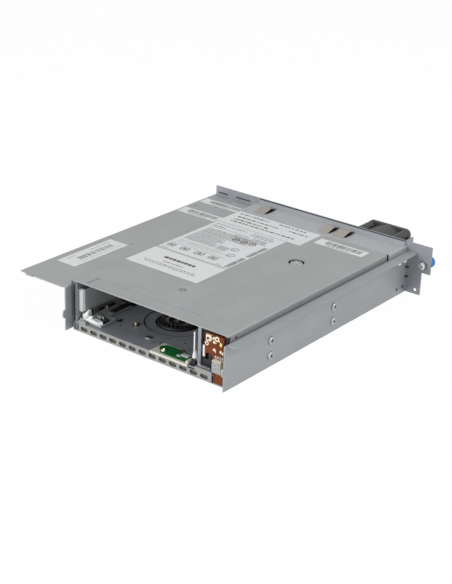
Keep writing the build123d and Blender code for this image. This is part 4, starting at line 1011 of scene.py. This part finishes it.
@dataclass
class OperatorPanel(Fitting):
    """Small parts on the brown board at the front right, and the face of the display."""

    pads: tuple[Point, ...] = ((128.9, 30.7, 1.7), (137.7, 36.2, 1.9))
    pad_section: Outline = ((0.5, 0.0), (0.5, 0.4), (0.92, 0.4), (1.0, 0.0))
    chips: tuple[Area, ...] = ((136.0, 33.1, 2.2, 1.1), (133.2, 35.4, 1.1, 1.4), (139.8, 35.0, 0.9, 1.2))
    chip_height: float = 0.3
    lamps: Outline = ((136.0, 26.9), (142.5, 26.7), (134.6, 35.9))
    # Black block that stands for the shade of the gap at the board's right corner.
    corner_gap_shade: Brick = Brick((143.7, 0.3, 31.6), (145.2, 2.9, 39.4), 0, 0.1)
    lens: Brick = Brick((-1.4, -0.12, -2.3), (0.3, 0.3, -0.4), 0, 0.1)
    digit: Pair = (1.5, 1.45)
    segment: float = 0.3

    def on_board(self, x: float, z: float, out: float = 0.0) -> Vector:
        """A place on the board's face, or out in front of it, in millimetres."""
        return Vector((spot(x, 0, 0)[0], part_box("operator_board")[0][1] - out * MM, z * MM))

    def board(self) -> None:
        """Solder rings with black centres painted as the shade of their holes, chips and three-cornered pads
        on the board's face.
        """
        bm = bmesh.new()
        for x, z, radius in self.pads:
            section = [(radius * share, rise) for share, rise in self.pad_section]
            lathe(bm, section, facing(FORWARD, self.on_board(x, z)), 18, 0)
            # Black disc in each solder ring: painted shade of its hole.
            disc(bm, facing(FORWARD, self.on_board(x, z, 0.1)), radius * 0.5, 14, 2)
        for x, z, width, tall in self.chips:
            low = self.on_board(x - width / 2, z - tall / 2, self.chip_height)
            slab(bm, low, self.on_board(x + width / 2, z + tall / 2), 1, self.chip_height * 0.12 * MM)
        for x, z in self.lamps:
            place = facing(FORWARD, self.on_board(x, z, 0.1)) @ Matrix.Rotation(math.pi / 2, 4, "Z")
            disc(bm, place, 1.7, 3, 1)
        self.shop.piece("board_parts", bm, [CLEAR_LAMP, CREAM, BLACK], "tray", "board_brown")

    def corner(self) -> None:
        """Black block painted in as the shade of the gap between the board and the set-back side of the
        cover.
        """
        bm = bmesh.new()
        self.corner_gap_shade.lay(bm)
        self.shop.piece("corner_gap_painted_shade", bm, [BLACK], "tray", "black_plastic")

    def display(self) -> None:
        """Grey face of the display with its seven segments and point."""
        low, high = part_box("status_display")
        bm = bmesh.new()
        edge, front, skin = 0.35 * MM, low[1] - 0.05 * MM, 0.03 * MM
        slab(bm, Vector((low[0] + edge, front, low[2] + edge)),
             Vector((high[0] - edge, low[1] + 0.3 * MM, high[2] - edge)), 0, 0.06 * MM)
        cx, cz = (low[0] + high[0]) / 2 - 0.3 * MM, (low[2] + high[2]) / 2
        half_w, half_h, bar = self.digit[0] * MM, self.digit[1] * MM, self.segment * MM
        spans = [(0, step * half_h, half_w, bar) for step in (2, 0, -2)]
        spans += [(sx * (half_w + bar), sz * half_h, bar, half_h - bar) for sx in (-1, 1) for sz in (-1, 1)]
        spans.append((half_w + 3 * bar, -2 * half_h, bar, bar))
        for x, z, wide, tall in spans:
            slab(bm, Vector((cx + x - wide, front - skin, cz + z - tall)),
                 Vector((cx + x + wide, front, cz + z + tall)), 1)
        self.shop.piece("display_face", bm, [DISPLAY_GREY, SEGMENT], "tray", "grey_plastic", smooth=False)

    def amber(self) -> None:
        """Amber lens over the lamp at the upper right."""
        low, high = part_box("status_leds")
        bm = bmesh.new()
        self.lens.lay(bm, Vector((high[0], low[1], high[2])))
        self.shop.piece("amber_lens", bm, [AMBER], "tray", "white_plastic")

    def build(self) -> None:
        """Builds the board's parts, the painted shade at the corner, the display's face and the lens."""
        self.board()
        self.corner()
        self.display()
        self.amber()


@dataclass
class BayFittings(Fitting):
    """Small parts on the deck and round the mouth of the cartridge bay."""

    deck: float = 7.5
    reader_blocks: tuple[Brick, ...] = (
        Brick((99.0, 6.6, 0.0), (105.6, 11.0, 0.9), 0, 0.1),
        Brick((96.6, 4.6, 0.0), (100.0, 6.6, 0.5), 0, 0.05),
        Brick((93.6, 12.4, 0.0), (97.6, 14.0, 0.5), 1, 0.08))
    reader_screw: Turning = Turning(((0.0, 0.3), (0.7, 0.3), (1.0, 0.9), (1.7, 0.9), (2.0, 0.3), (2.0, 0.0)),
                                    20, 2)
    screw_place: Pair = (84.2, 5.0)
    recess: float = 0.34
    washer: Turning = Turning(((1.0, 0.0), (1.0, 0.85), (2.3, 0.85), (2.7, 0.5), (2.7, 0.0)), 28, 0)
    washer_place: Pair = (61.9, 14.5)
    studs: tuple[Point, ...] = ((27.0, 21.6, 1.9), (32.4, 16.6, 0.7), (74.4, 22.6, 0.6), (69.4, 9.6, 0.5),
                                (88.0, 24.5, 0.8))
    pin_ring: Turning = Turning(((1.6, 0.0), (1.6, 0.5), (2.4, 0.5), (2.6, 0.2), (2.6, 0.0)), 20, 1)
    pin_place: Pair = (40.3, 25.1)
    mouth_blocks: tuple[Brick, ...] = (
        Brick((2.6, 3.1, 15.0), (6.6, 4.0, 32.4), 0, 0.2), Brick((6.6, 3.4, 15.6), (7.5, 5.2, 32.4), 1, 0.1),
        Brick((121.1, 3.6, 16.4), (123.3, 4.4, 25.2), 2, 0.2),
        # The plate in the deck's tone over the right wall's front flange is painted shade.
        Brick((117.2, 3.1, 9.6), (119.9, 3.39, 39.2), 3, 0.05))
    # Dark strips at the left end of the mouth: painted shade of the gaps there.
    mouth_shades: Outline = ((-1.35, 0.5), (1.9, 2.5))
    # The second block, a thin black strip, is painted shade of a slot in the wall.
    clip_blocks: tuple[Brick, ...] = (
        Brick((8.6, 18.4, 9.2), (10.5, 40.0, 11.2), 1, 0.1), Brick((8.6, 18.4, 11.2), (8.9, 23.6, 13.6)),
        Brick((8.6, 25.0, 11.2), (9.6, 36.0, 13.4), 0, 0.3),
        Brick((9.6, 25.0, 11.3), (10.4, 32.0, 11.9), 2, 0.1))
    clip_pin: Turning = Turning(((0.0, 0.9), (0.8, 0.9), (1.2, 0.5), (1.2, 0.0)), 14, 2)
    # The step's edge, the deck's holes and the patch are drawn dark as painted shade.
    step_edge: Turning = Turning(((25.7, 0.0), (25.7, 0.3), (26.3, 0.3), (26.3, 0.0)), 90)
    deck_holes: tuple[Point, ...] = ((26.2, 24.6, 1.6), (30.4, 21.6, 0.6), (22.8, 17.0, 0.8),
                                     (73.4, 14.6, 0.9), (69.8, 12.2, 0.7))
    deck_patch: Brick = Brick((111.4, 0.1, 0.0), (117.8, 2.3, 0.04))
    foot: Turning = Turning(((0.0, 0.6), (1.6, 0.8), (2.1, 2.4), (2.0, 4.6), (1.4, 7.0), (0.6, 9.0),
                             (0.0, 9.2)), 20)
    lining: Brick = Brick((7.0, 0.4, 1.4), (132.0, 0.9, 5.5))

    def reader(self) -> None:
        """Parts of the reader board: coil connector, screw, chip and pads."""
        top = top_of("reader_board")
        bm = bmesh.new()
        for block in self.reader_blocks:
            block.lay(bm, spot(0, 0, top))
        self.reader_screw.stand(bm, UP, spot(*self.screw_place, top))
        # Black disc in the screw's recess: painted shade.
        disc(bm, facing(UP, spot(*self.screw_place, top + self.recess)), 0.7, 14, 1)
        self.shop.piece("reader_parts", bm, [STRIP_GREY, BLACK, BRASS], "tray", "board_green")

    def deck_parts(self) -> None:
        """Washers, pads and screw heads on the deck."""
        bm = bmesh.new()
        self.washer.stand(bm, UP, spot(*self.washer_place, self.deck))
        for x, y, radius in self.studs:
            stud = Turning(((0.0, 0.35), (radius * 0.7, 0.35), (radius, 0.1), (radius, 0.0)), 16, 1)
            stud.stand(bm, UP, spot(x, y, self.deck))
        self.pin_ring.stand(bm, UP, spot(*self.pin_place, self.deck))
        self.shop.piece("deck_parts", bm, [BRIGHT, BLACK], "tray", "screw_steel")

    def strips(self) -> None:
        """Pale guide strips at both sides of the mouth, a plate in the deck's tone over the right wall's
        front as painted shade, and dark strips as painted shade in the gaps at the left end.
        """
        bm = bmesh.new()
        for block in self.mouth_blocks:
            block.lay(bm)
        front = (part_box("main_frame")[0][1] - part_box("top_cover")[0][1]) / MM
        for left, right in self.mouth_shades:
            Brick((left, front - 0.12, 11.6), (right, front - 0.01, 39.4), 4).lay(bm)
        finishes = [STRIP_GREY, GREY, WHITE, DECK, SLOT_SHADE]
        self.shop.piece("mouth_strips", bm, finishes, "tray", "white_plastic")

    def wall_clip(self) -> None:
        """Rail with a sprung clip on the carriage, along the left side of the bay, and a thin black strip
        painted as the shade of a slot.
        """
        bm = bmesh.new()
        for block in self.clip_blocks:
            block.lay(bm)
        self.clip_pin.stand(bm, RIGHTWARD, spot(9.5, 26.6, 12.6))
        self.shop.piece("wall_clip", bm, [BLACK, BAY_STEEL, BRIGHT], "loader_carriage", "black_plastic")

    def deck_painted_shade(self) -> None:
        """Painted shade on the deck: a dark ring at the edge of the round step about the clutch, dark discs
        for small holes and a dark patch for a cut at the right.
        """
        bm = bmesh.new()
        centre = middle("reel_clutch")
        centre.z = (self.deck - 0.38) * MM
        self.step_edge.stand(bm, UP, centre)
        for x, y, radius in self.deck_holes:
            disc(bm, facing(UP, spot(x, y, self.deck + 0.03)), radius, 18, 0)
        self.deck_patch.lay(bm, spot(0, 0, self.deck))
        self.shop.piece("deck_painted_shade", bm, [DEEP], "tray", "dark_casting")

    def feeler_foot(self) -> None:
        """Drop-shaped white foot of the cartridge feeler."""
        bm = bmesh.new()
        centre = middle("cartridge_feeler")
        centre.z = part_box("cartridge_feeler")[0][2]
        self.foot.stand(bm, UP, centre)
        self.shop.piece("feeler_foot", bm, [WHITE], "cartridge_feeler", "white_plastic")

    def vent_lining(self) -> None:
        """Edge of the logic board that shows through the vents of the front lip."""
        bm = bmesh.new()
        self.lining.lay(bm)
        self.shop.piece("vent_lining", bm, [OLIVE], "tray", "board_green", smooth=False)

    def build(self) -> None:
        """Builds every fitting."""
        self.reader()
        self.deck_parts()
        self.strips()
        self.wall_clip()
        self.deck_painted_shade()
        self.feeler_foot()
        self.vent_lining()


@dataclass
class LoaderDress(Fitting):
    """Links, spring and pins on the loader's carriage, and the leaf and barrel of its latch."""

    base: float = 9.4
    plates: tuple[Brick, ...] = (
        Brick((12.0, 6.4, 0.0), (24.6, 13.2, 0.7), 0, 0.2),
        Brick((11.2, 9.4, 0.7), (18.6, 12.8, 3.0), 1, 0.4),
        Brick((15.4, 10.2, 0.7), (24.2, 12.8, 1.9), 0, 0.3),
        Brick((10.8, 27.0, -0.3), (16.9, 46.9, 0.1), 0, 0.05))
    tall_pin: Turning = Turning(((0.0, 2.6), (0.7, 2.6), (0.9, 2.3), (0.9, 0.0)), 14, 2)
    short_pin: Turning = Turning(((0.0, 1.9), (0.9, 1.9), (1.2, 1.6), (1.2, 0.0)), 14, 2)
    coil: Turning = Turning(tuple((1.15 if step % 2 else 0.85, step * 0.2) for step in range(29)), 12, 2)
    spring_way: Point = (1.0, 0.25, 0.0)
    eye: Turning = Turning(((0.9, 0.0), (0.9, 0.3), (1.5, 0.3), (1.5, 0.0)), 20)
    eye_place: Point = (11.9, 3.1, 2.0)
    leaf: Turning = Turning(((0.0, -4.3), (1.0, -3.9), (1.7, -2.4), (1.9, -0.4), (1.7, 1.8), (1.1, 3.6),
                             (0.4, 4.5), (0.0, 4.6)), 22, 1)
    leaf_way: Point = (0.44, 0.0, 0.9)
    barrel: Turning = Turning(((0.0, 10.2), (1.4, 10.2), (1.7, 9.8), (1.7, 0.4), (1.4, 0.0), (0.0, 0.0)),
                              22, 1)

    def links(self) -> None:
        """Plates, pins and spring on the carriage."""
        bm = bmesh.new()
        for plate in self.plates:
            plate.lay(bm, spot(0, 0, self.base))
        self.tall_pin.stand(bm, UP, spot(20.6, 10.6, self.base + 0.7))
        self.short_pin.stand(bm, UP, spot(13.2, 15.8, self.base + 0.7))
        self.coil.stand(bm, self.spring_way, spot(8.0, 14.6, self.base + 1.3))
        self.shop.piece("carriage_links", bm, [BLACK, GREY, ZINC], "loader_carriage", "grey_plastic")

    def latch(self) -> None:
        """Leaf, barrel and eye of the latch."""
        bm = bmesh.new()
        self.eye.stand(bm, RIGHTWARD, Vector(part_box("cartridge_latch")[0]) + Vector(self.eye_place) * MM)
        self.leaf.stand(bm, self.leaf_way, spot(10.4, 3.2, 13.3))
        self.barrel.stand(bm, RIGHTWARD, spot(9.8, 3.6, 10.4))
        self.shop.piece("latch_leaf", bm, [BLACK, WHITE], "cartridge_latch", "white_plastic")

    def build(self) -> None:
        """Builds the parts on the carriage and the latch."""
        self.links()
        self.latch()


@dataclass
class CoverMarks(Fitting):
    """Painted shade in the dimples, holes and slots of the sheet-metal shell, and the turned-up rear edge of
    the rear cover.
    """

    dimple: Turning = Turning(((1.5, 0.0), (1.5, 0.06), (2.8, 0.06), (2.8, 0.0)), 40)
    dimple_depth: float = 0.7
    mark: Turning = Turning(((0.5, 0.0), (0.5, 0.04), (1.3, 0.04), (1.3, 0.0)), 20)
    mark_depth: float = 0.28
    wing_marks: Outline = ((-45.4, 90.6), (-22.6, 90.9), (-43.1, 195.0))
    slots: Outline = ((-46.0, -33.6), (-27.4, -9.4))
    hole_depth: float = 0.2
    side_hole: Pair = (8.8, -4.1)
    rear_holes: Pair = (4.2, 12.8)
    wing_holes: Pair = (27.6, 8.9)
    tab_slots: Pair = (14.4, 22.4)
    tab_bricks: tuple[Brick, ...] = (Brick((-0.3, -2.2, -1.1), (0.04, -0.1, 1.1)),
                                     Brick((0.0, -0.06, -0.7), (2.2, 0.0, 0.7)))
    upturn: Outline = ((3.4, 0.02), (1.2, 1.5), (0.0, 2.4), (0.0, 0.0))
    upturn_end: float = 1.6

    def dimple_shade_rings(self) -> None:
        """Dark rings painted into the dimple of the top cover and the small marks of the wing, as the shade
        in them.
        """
        bm = bmesh.new()
        self.dimple.stand(bm, UP, spot(71.1, 41.4, top_of("top_cover") - self.dimple_depth))
        for x, y in self.wing_marks:
            self.mark.stand(bm, UP, spot(x, y, top_of("left_bracket") - self.mark_depth))
        self.shop.piece("dimple_shade_rings", bm, [DIMPLE_SHADE], "tray", "zinc_steel")

    def hole_shades(self) -> None:
        """Black discs painted just inside the small holes in the cover's sides, the brackets and the wing,
        and black strips in the tab slots, as the shade in them.
        """
        bm = bmesh.new()
        low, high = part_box("top_cover")
        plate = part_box("rear_plate")[0][1]
        depth = self.hole_depth * MM
        for x, sign in ((low[0], -1.0), (high[0], 1.0)):
            at = Vector((x - sign * depth, low[1] + self.side_hole[0] * MM, high[2] + self.side_hole[1] * MM))
            disc(bm, facing((sign, 0, 0), at), 1.1, 18)
        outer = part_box("right_side_screws")[1][0] - ScrewHeads.height * MM
        for back in self.rear_holes:
            disc(bm, facing(RIGHTWARD, Vector((outer - depth, plate - back * MM, 6.4 * MM))), 1.45, 20)
        for z in self.tab_slots:
            for brick in self.tab_bricks:
                brick.lay(bm, Vector((outer, plate, z * MM)))
        for back in self.wing_holes:
            at = Vector((spot(-26.3, 0, 0)[0], plate - back * MM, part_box("left_bracket")[1][2] - depth))
            disc(bm, facing(UP, at), 1.0, 18)
        self.shop.piece("hole_painted_shade", bm, [BLACK], "tray", "black_plastic")

    def slot_shades(self) -> None:
        """Dark blocks behind the slots at the left of the rear plate, painted as the shade in them."""
        bm = bmesh.new()
        origin = Vector((spot(0, 0, 0)[0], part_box("rear_plate")[0][1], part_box("left_bracket")[1][2]))
        for left, right in self.slots:
            Brick((left, 0.5, 0.6), (right, 1.6, 4.0), 0, 0.2).lay(bm, origin)
        self.shop.piece("slot_painted_shade", bm, [SLOT_SHADE], "tray", "black_plastic")

    def cover_upturn(self) -> None:
        """Rear edge of the rear cover, turned up along the plate, with a black strip above it painted as the
        shade of the seam.
        """
        low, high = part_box("rear_cover")
        left, right = low[0] + self.upturn_end * MM, high[0] - self.upturn_end * MM
        section = [(high[1] - ahead * MM, high[2] + rise * MM) for ahead, rise in self.upturn]
        bm = bmesh.new()
        ends = [bm.faces.new([bm.verts.new((x, y, z)) for y, z in section]) for x in (left, right)]
        bmesh.ops.bridge_loops(bm, edges=[edge for face in ends for edge in face.edges])
        # Black strip on the plate's front above the upturn: painted shade of the seam.
        seam = max(z for _, z in section) + 0.05 * MM
        plate_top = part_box("rear_plate")[1][2] - 0.1 * MM
        slab(bm, Vector((left, high[1] - 0.15 * MM, seam)), Vector((right, high[1], plate_top)), 1)
        self.shop.piece("cover_upturn", bm, [PLATE_STEEL, BLACK], "tray", "zinc_steel")

    def build(self) -> None:
        """Builds every mark."""
        self.dimple_shade_rings()
        self.hole_shades()
        self.slot_shades()
        self.cover_upturn()


@dataclass
class HubCap(Fitting):
    """Pale driven cap of the take-up reel that shows through the top cover's round window."""

    cap: Turning = Turning(((0.0, 0.25), (0.8, 0.25), (1.0, 0.0), (4.4, 0.0), (4.8, -0.3), (4.8, -4.0)), 36)
    sunk: float = 0.7
    holes: int = 5
    hole_place: Point = (2.9, 0.0, 0.03)

    def build(self) -> None:
        """Builds the cap with its rim, and black discs painted as the shade of its small holes."""
        centre = middle("takeup_reel")
        centre.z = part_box("top_cover")[1][2] - self.sunk * MM
        bm = bmesh.new()
        self.cap.stand(bm, UP, centre)
        for number in range(self.holes):
            turn = Matrix.Rotation(0.35 + number * math.tau / self.holes, 4, "Z")
            # Black discs for the small holes: painted shade.
            disc(bm, Matrix.Translation(centre + turn @ (Vector(self.hole_place) * MM)), 0.72, 14, 1)
        self.shop.piece("reel_cap", bm, [HUB_GREY, BLACK], "takeup_reel", "reel_plastic")


@dataclass
class ClutchFace(Fitting):
    """Fine teeth, ring and bright centre of the reel clutch."""

    height: float = 8.1
    ring: Turning = Turning(((14.6, 0.0), (14.6, 0.5), (15.4, 0.5), (15.7, 0.2), (15.7, 0.0)), 60)
    teeth: int = 60
    tooth_place: Point = (9.0, 0.0, 0.3)
    tooth_size: Point = (2.6, 0.4, 0.6)
    nose: Turning = Turning(((0.0, 0.5), (0.9, 0.45), (1.5, 0.2), (1.6, -0.2)), 20, 2)

    def build(self) -> None:
        """Builds the face."""
        centre = middle("reel_clutch")
        centre.z = self.height * MM
        bm = bmesh.new()
        self.ring.stand(bm, UP, centre)
        tooth = Matrix.Translation(Vector(self.tooth_place) * MM) @ stretched(self.tooth_size)
        for number in range(self.teeth):
            turn = Matrix.Translation(centre) @ Matrix.Rotation(number * math.tau / self.teeth, 4, "Z")
            cube(bm, turn @ tooth, 1)
        centre.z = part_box("reel_clutch")[1][2]
        self.nose.stand(bm, UP, centre)
        self.shop.piece("clutch_face", bm, [BLACK, REEL_GREY, BRIGHT], "reel_clutch", "black_plastic")


@dataclass
class FanDress(Fitting):
    """Round stickers on both sides of the rear fan."""

    rotor_parts: tuple[Turning, ...] = (Turning(((0.0, 0.12), (6.6, 0.12), (6.8, 0.0)), 40),
                                        Turning(((2.2, 0.15), (2.2, 0.2), (2.6, 0.2), (2.6, 0.15)), 30, 1))
    motor_parts: tuple[Turning, ...] = (Turning(((0.0, 0.12), (7.4, 0.12), (7.6, 0.0)), 40),
                                        Turning(((4.8, 0.15), (4.8, 0.2), (5.2, 0.2), (5.2, 0.15)), 36, 1))

    def sticker(self, name: str, parts: tuple[Turning, ...], direction: Point, y: float, body: str) -> None:
        """Puts one sticker on the fan's axis.

        Args:
            name: The piece's name.
            parts: Stock and printed ring.
            direction: Where it faces.
            y: Where its back lies, in metres.
            body: The body that it rides on.
        """
        at = middle("fan_rotor")
        at.y = y
        bm = bmesh.new()
        for part in parts:
            part.stand(bm, direction, at)
        self.shop.piece(name, bm, [PAPER, PRINT_GREY], body, "fan_black")

    def build(self) -> None:
        """Builds both stickers."""
        self.sticker("rotor_sticker", self.rotor_parts, FORWARD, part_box("fan_rotor")[0][1], "fan_rotor")
        self.sticker("motor_sticker", self.motor_parts, REARWARD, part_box("fan_frame")[1][1], "tray")


@dataclass(frozen=True)
class ContactRow:
    """A row of equal contacts: their number, their distance and one of them."""

    count: int
    pitch: float
    contact: Brick

    def lay(self, bm: bmesh.types.BMesh, centre: Vector) -> None:
        """Adds the row along X about a centre."""
        for number in range(self.count):
            shift = (number - (self.count - 1) / 2) * self.pitch * MM
            self.contact.lay(bm, centre + Vector((shift, 0.0, 0.0)))


@dataclass
class RearPanel(Fitting):
    """Contacts of the ports, painted highlights on the press marks of the rear plate and ends of the
    thumbscrews.
    """

    network_row: ContactRow = ContactRow(8, 1.02, Brick((-0.2, -9.0, -4.6), (0.2, -2.0, -4.3), 0, 0.03))
    data_row: ContactRow = ContactRow(13, 1.27, Brick((-0.3, -10.0, 0.8), (0.3, -6.3, 0.9), 0, 0.02))
    tongue: float = 13.9
    lamp: Brick = Brick((0.0, -0.1, -2.2), (1.5, 0.12, -0.6), 2, 0.05)
    mark: Turning = Turning(((1.2, 0.0), (1.2, 0.08), (2.3, 0.08), (2.4, 0.0)), 20)
    left_marks: Outline = ((12.0, 38.0), (40.0, 38.0), (56.0, 33.0))
    right_marks: Outline = ((-24.0, 38.0), (-16.0, 9.0))
    dish: Outline = ((1.0, -0.4), (1.0, 0.2), (0.93, 0.8), (0.8, 1.15), (0.62, 1.25), (0.58, 0.9), (0.0, 0.9))
    dome: float = 1.1
    floor: float = 0.9
    cross: Point = (0.8, 0.2, 0.9)

    def contacts(self) -> None:
        """Gold contacts in both ports and the jack's two lamps."""
        bm = bmesh.new()
        low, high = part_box("network_port")
        back, top = high[1], high[2]
        self.network_row.lay(bm, Vector(((low[0] + high[0]) / 2, back, top)))
        slab(bm, Vector((low[0] + 2.4 * MM, back - 10.6 * MM, low[2] + 2.8 * MM)),
             Vector((high[0] - 2.4 * MM, back - 10.2 * MM, top - 2.6 * MM)), 1)
        for side in (low[0] + 0.5 * MM, high[0] - 2.0 * MM):
            self.lamp.lay(bm, Vector((side, back, top)))
        low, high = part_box("data_port")
        self.data_row.lay(bm, Vector(((low[0] + high[0]) / 2, high[1], self.tongue * MM)))
        self.shop.piece("port_contacts", bm, [GOLD, BLACK, CLEAR_LAMP], "tray", "port_shell")

    def plate_mark_highlights(self) -> None:
        """Rings in the lighter steel of the top cover, painted as highlights on the rims of round press marks
        on the rear plate, some from its left end and some from its right.
        """
        bm = bmesh.new()
        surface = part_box("fan_frame")[0][1]
        for corner, marks in zip(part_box("rear_plate"), (self.left_marks, self.right_marks)):
            for shift, z in marks:
                # Each ring is a painted highlight on a mark's rim.
                self.mark.stand(bm, REARWARD, Vector((corner[0] + shift * MM, surface, z * MM)))
        self.shop.piece("plate_mark_highlights", bm, [STEEL], "tray", "zinc_steel")

    def knob_caps(self) -> None:
        """Dished end of each thumbscrew's grip, with its driver cross in black as painted shade."""
        for side in ("right", "left"):
            low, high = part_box(f"{side}_thumbscrew_knob")
            centre = middle(f"{side}_thumbscrew_knob")
            centre.y = high[1]
            radius = (high[2] - low[2]) / 2 / MM
            bm = bmesh.new()
            profile = [(radius * share, rise * self.dome) for share, rise in self.dish]
            lathe(bm, profile, facing(REARWARD, centre), 36)
            centre.y += self.floor * self.dome * MM
            # The cross is black: painted shade in the driver cross.
            length, width, depth = self.cross
            for turn in range(2):
                spin = Matrix.Rotation(turn * math.pi / 2, 4, "Y")
                cube(bm, Matrix.Translation(centre) @ spin @ stretched((radius * length, width, depth)), 1)
            self.shop.piece(f"{side}_knob_end", bm, [KNOB_BLUE, BLACK], f"{side}_thumbscrew", "knob_blue")

    def build(self) -> None:
        """Builds every part of the rear."""
        self.contacts()
        self.plate_mark_highlights()
        self.knob_caps()


@dataclass
class Underside(Fitting):
    """Flush screws of the bottom cover."""

    screw: Turning = Turning(((0.0, 0.02), (0.5, 0.02), (0.6, 0.05), (2.2, 0.05), (2.4, 0.0)), 20)
    columns: Pair = (10.0, 136.0)
    rows: Point = (12.0, 112.0, 190.0)

    def build(self) -> None:
        """Builds the flush screws."""
        bm = bmesh.new()
        for y in self.rows:
            for x in self.columns:
                self.screw.stand(bm, DOWN, spot(x, y, 0.0))
        self.shop.piece("underside_screws", bm, [ZINC], "tray", "screw_steel")


class Lamp(Enum):
    """The soft lamps: power in watts, width and depth in metres, and where each stands."""

    KEY = (17.0, 1.6, 1.2, (1.3, 0.15, 1.0))
    TOP = (5.0, 1.8, 1.8, (-0.25, 0.25, 1.6))
    FRONT = (24.0, 1.4, 0.8, (-0.35, -1.6, 0.55))


@dataclass
class Studio:
    """White room: floor, soft lamps, plain world and the camera of the photograph."""

    sky: float = 0.42
    floor_size: float = 6.0
    floor_drop: float = 0.0001
    floor_glow: float = 0.97
    floor_tones: Pair = (0.93, 0.97)
    azimuth: float = math.radians(37.418)
    elevation: float = math.radians(23.499)
    roll: float = math.radians(2.037)
    distance: float = 1.08086
    target: Point = (-0.00699, 0.013875, 0.01768)
    lens: float = 86.55
    sensor: float = 36.0
    clip: Pair = (0.05, 20.0)

    @staticmethod
    def rays(recipe: Recipe, *kinds: str) -> list[Field]:
        """Fields that are 1 for some kinds of ray."""
        path = recipe.node("ShaderNodeLightPath", {})
        return [Field(recipe, path.outputs[f"Is {kind} Ray"]) for kind in kinds]

    def world(self) -> None:
        """White for the camera and in reflections, and dimmer as a light."""
        recipe = Recipe("white_room", "worlds")
        bpy.context.scene.world = recipe.owner
        camera, glossy, through = self.rays(recipe, "Camera", "Glossy", "Transmission")
        seen = camera.most(glossy).most(through)
        strength = recipe.node("ShaderNodeMapRange", {}, Value=seen, **{"To Min": self.sky, "To Max": 1.0})
        back = recipe.node("ShaderNodeBackground", {}, Strength=strength.outputs["Result"])
        recipe.node("ShaderNodeOutputWorld", {}, Surface=back.outputs[0])

    def floor(self) -> None:
        """Pale floor that glows white to the camera and keeps a share of the shadow."""
        recipe = Recipe("studio_floor")
        dull, pale = ((tone, tone, tone) for tone in self.floor_tones)
        white = recipe.mix(recipe.noise(3.0), dull, pale)
        matt = recipe.node("ShaderNodeBsdfDiffuse", {}, Color=white)
        glow = recipe.node("ShaderNodeEmission", {}, Color=(1.0, 1.0, 1.0, 1.0), Strength=1.0)
        camera, glossy = self.rays(recipe, "Camera", "Glossy")
        share = (camera + glossy) * self.floor_glow
        mixed = recipe.node("ShaderNodeMixShader", {}, share, matt.outputs[0], glow.outputs[0])
        recipe.node("ShaderNodeOutputMaterial", {}, Surface=mixed.outputs[0])
        bm = bmesh.new()
        below = Matrix.Translation((0.0, 0.0, -self.floor_drop))
        bmesh.ops.create_grid(bm, x_segments=1, y_segments=1, size=self.floor_size / 2, matrix=below)
        mesh = bpy.data.meshes.new("floor")
        bm.to_mesh(mesh)
        bm.free()
        mesh.materials.append(recipe.owner)
        floor = bpy.data.objects.new("floor", mesh)
        bpy.context.scene.collection.objects.link(floor)

    def lamps(self) -> None:
        """Soft area lamps that point at the drive."""
        for lamp in Lamp:
            power, width, depth, place = lamp.value
            light = bpy.data.lights.new(f"{lamp.name.lower()}_lamp", "AREA")
            light.shape = "RECTANGLE"
            light.energy = power
            light.size = width
            light.size_y = depth
            obj = bpy.data.objects.new(light.name, light)
            obj.location = place
            aim = Vector(self.target) - Vector(place)
            obj.rotation_euler = aim.to_track_quat("-Z", "Y").to_euler()
            bpy.context.scene.collection.objects.link(obj)

    def camera(self) -> None:
        """Camera at the photograph's angle."""
        level = Vector((math.cos(self.azimuth), math.sin(self.azimuth), 0.0))
        ahead = Vector((-math.sin(self.azimuth) * math.cos(self.elevation),
                        math.cos(self.azimuth) * math.cos(self.elevation), -math.sin(self.elevation)))
        upright = level.cross(ahead)
        right = level * math.cos(self.roll) + upright * math.sin(self.roll)
        up = upright * math.cos(self.roll) - level * math.sin(self.roll)
        turn = Matrix((right, up, -ahead)).transposed().to_4x4()
        data = bpy.data.cameras.new("photo_camera")
        data.lens = self.lens
        data.sensor_width = self.sensor
        data.sensor_fit = "AUTO"
        data.clip_start, data.clip_end = self.clip
        camera = bpy.data.objects.new("photo_camera", data)
        camera.matrix_world = Matrix.Translation(Vector(self.target) - ahead * self.distance) @ turn
        bpy.context.scene.collection.objects.link(camera)
        bpy.context.scene.camera = camera

    def build(self) -> None:
        """Sets the whole room up."""
        bpy.context.scene.view_settings.view_transform = "Standard"
        self.world()
        self.floor()
        self.lamps()
        self.camera()


FITTINGS = (ScrewHeads, Labels, OperatorPanel, BayFittings, LoaderDress, CoverMarks, HubCap, ClutchFace,
            FanDress, RearPanel, Underside)


def main() -> None:
    """Builds the room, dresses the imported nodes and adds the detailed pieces."""
    logging.basicConfig(level=logging.INFO, format="%(message)s")
    Studio().build()
    shop = Workshop()
    for node, finish in NODE_FINISHES.items():
        shop.dress(node, finish)
    for fitting in FITTINGS:
        fitting(shop).build()


if __name__ == "__main__":
    main()
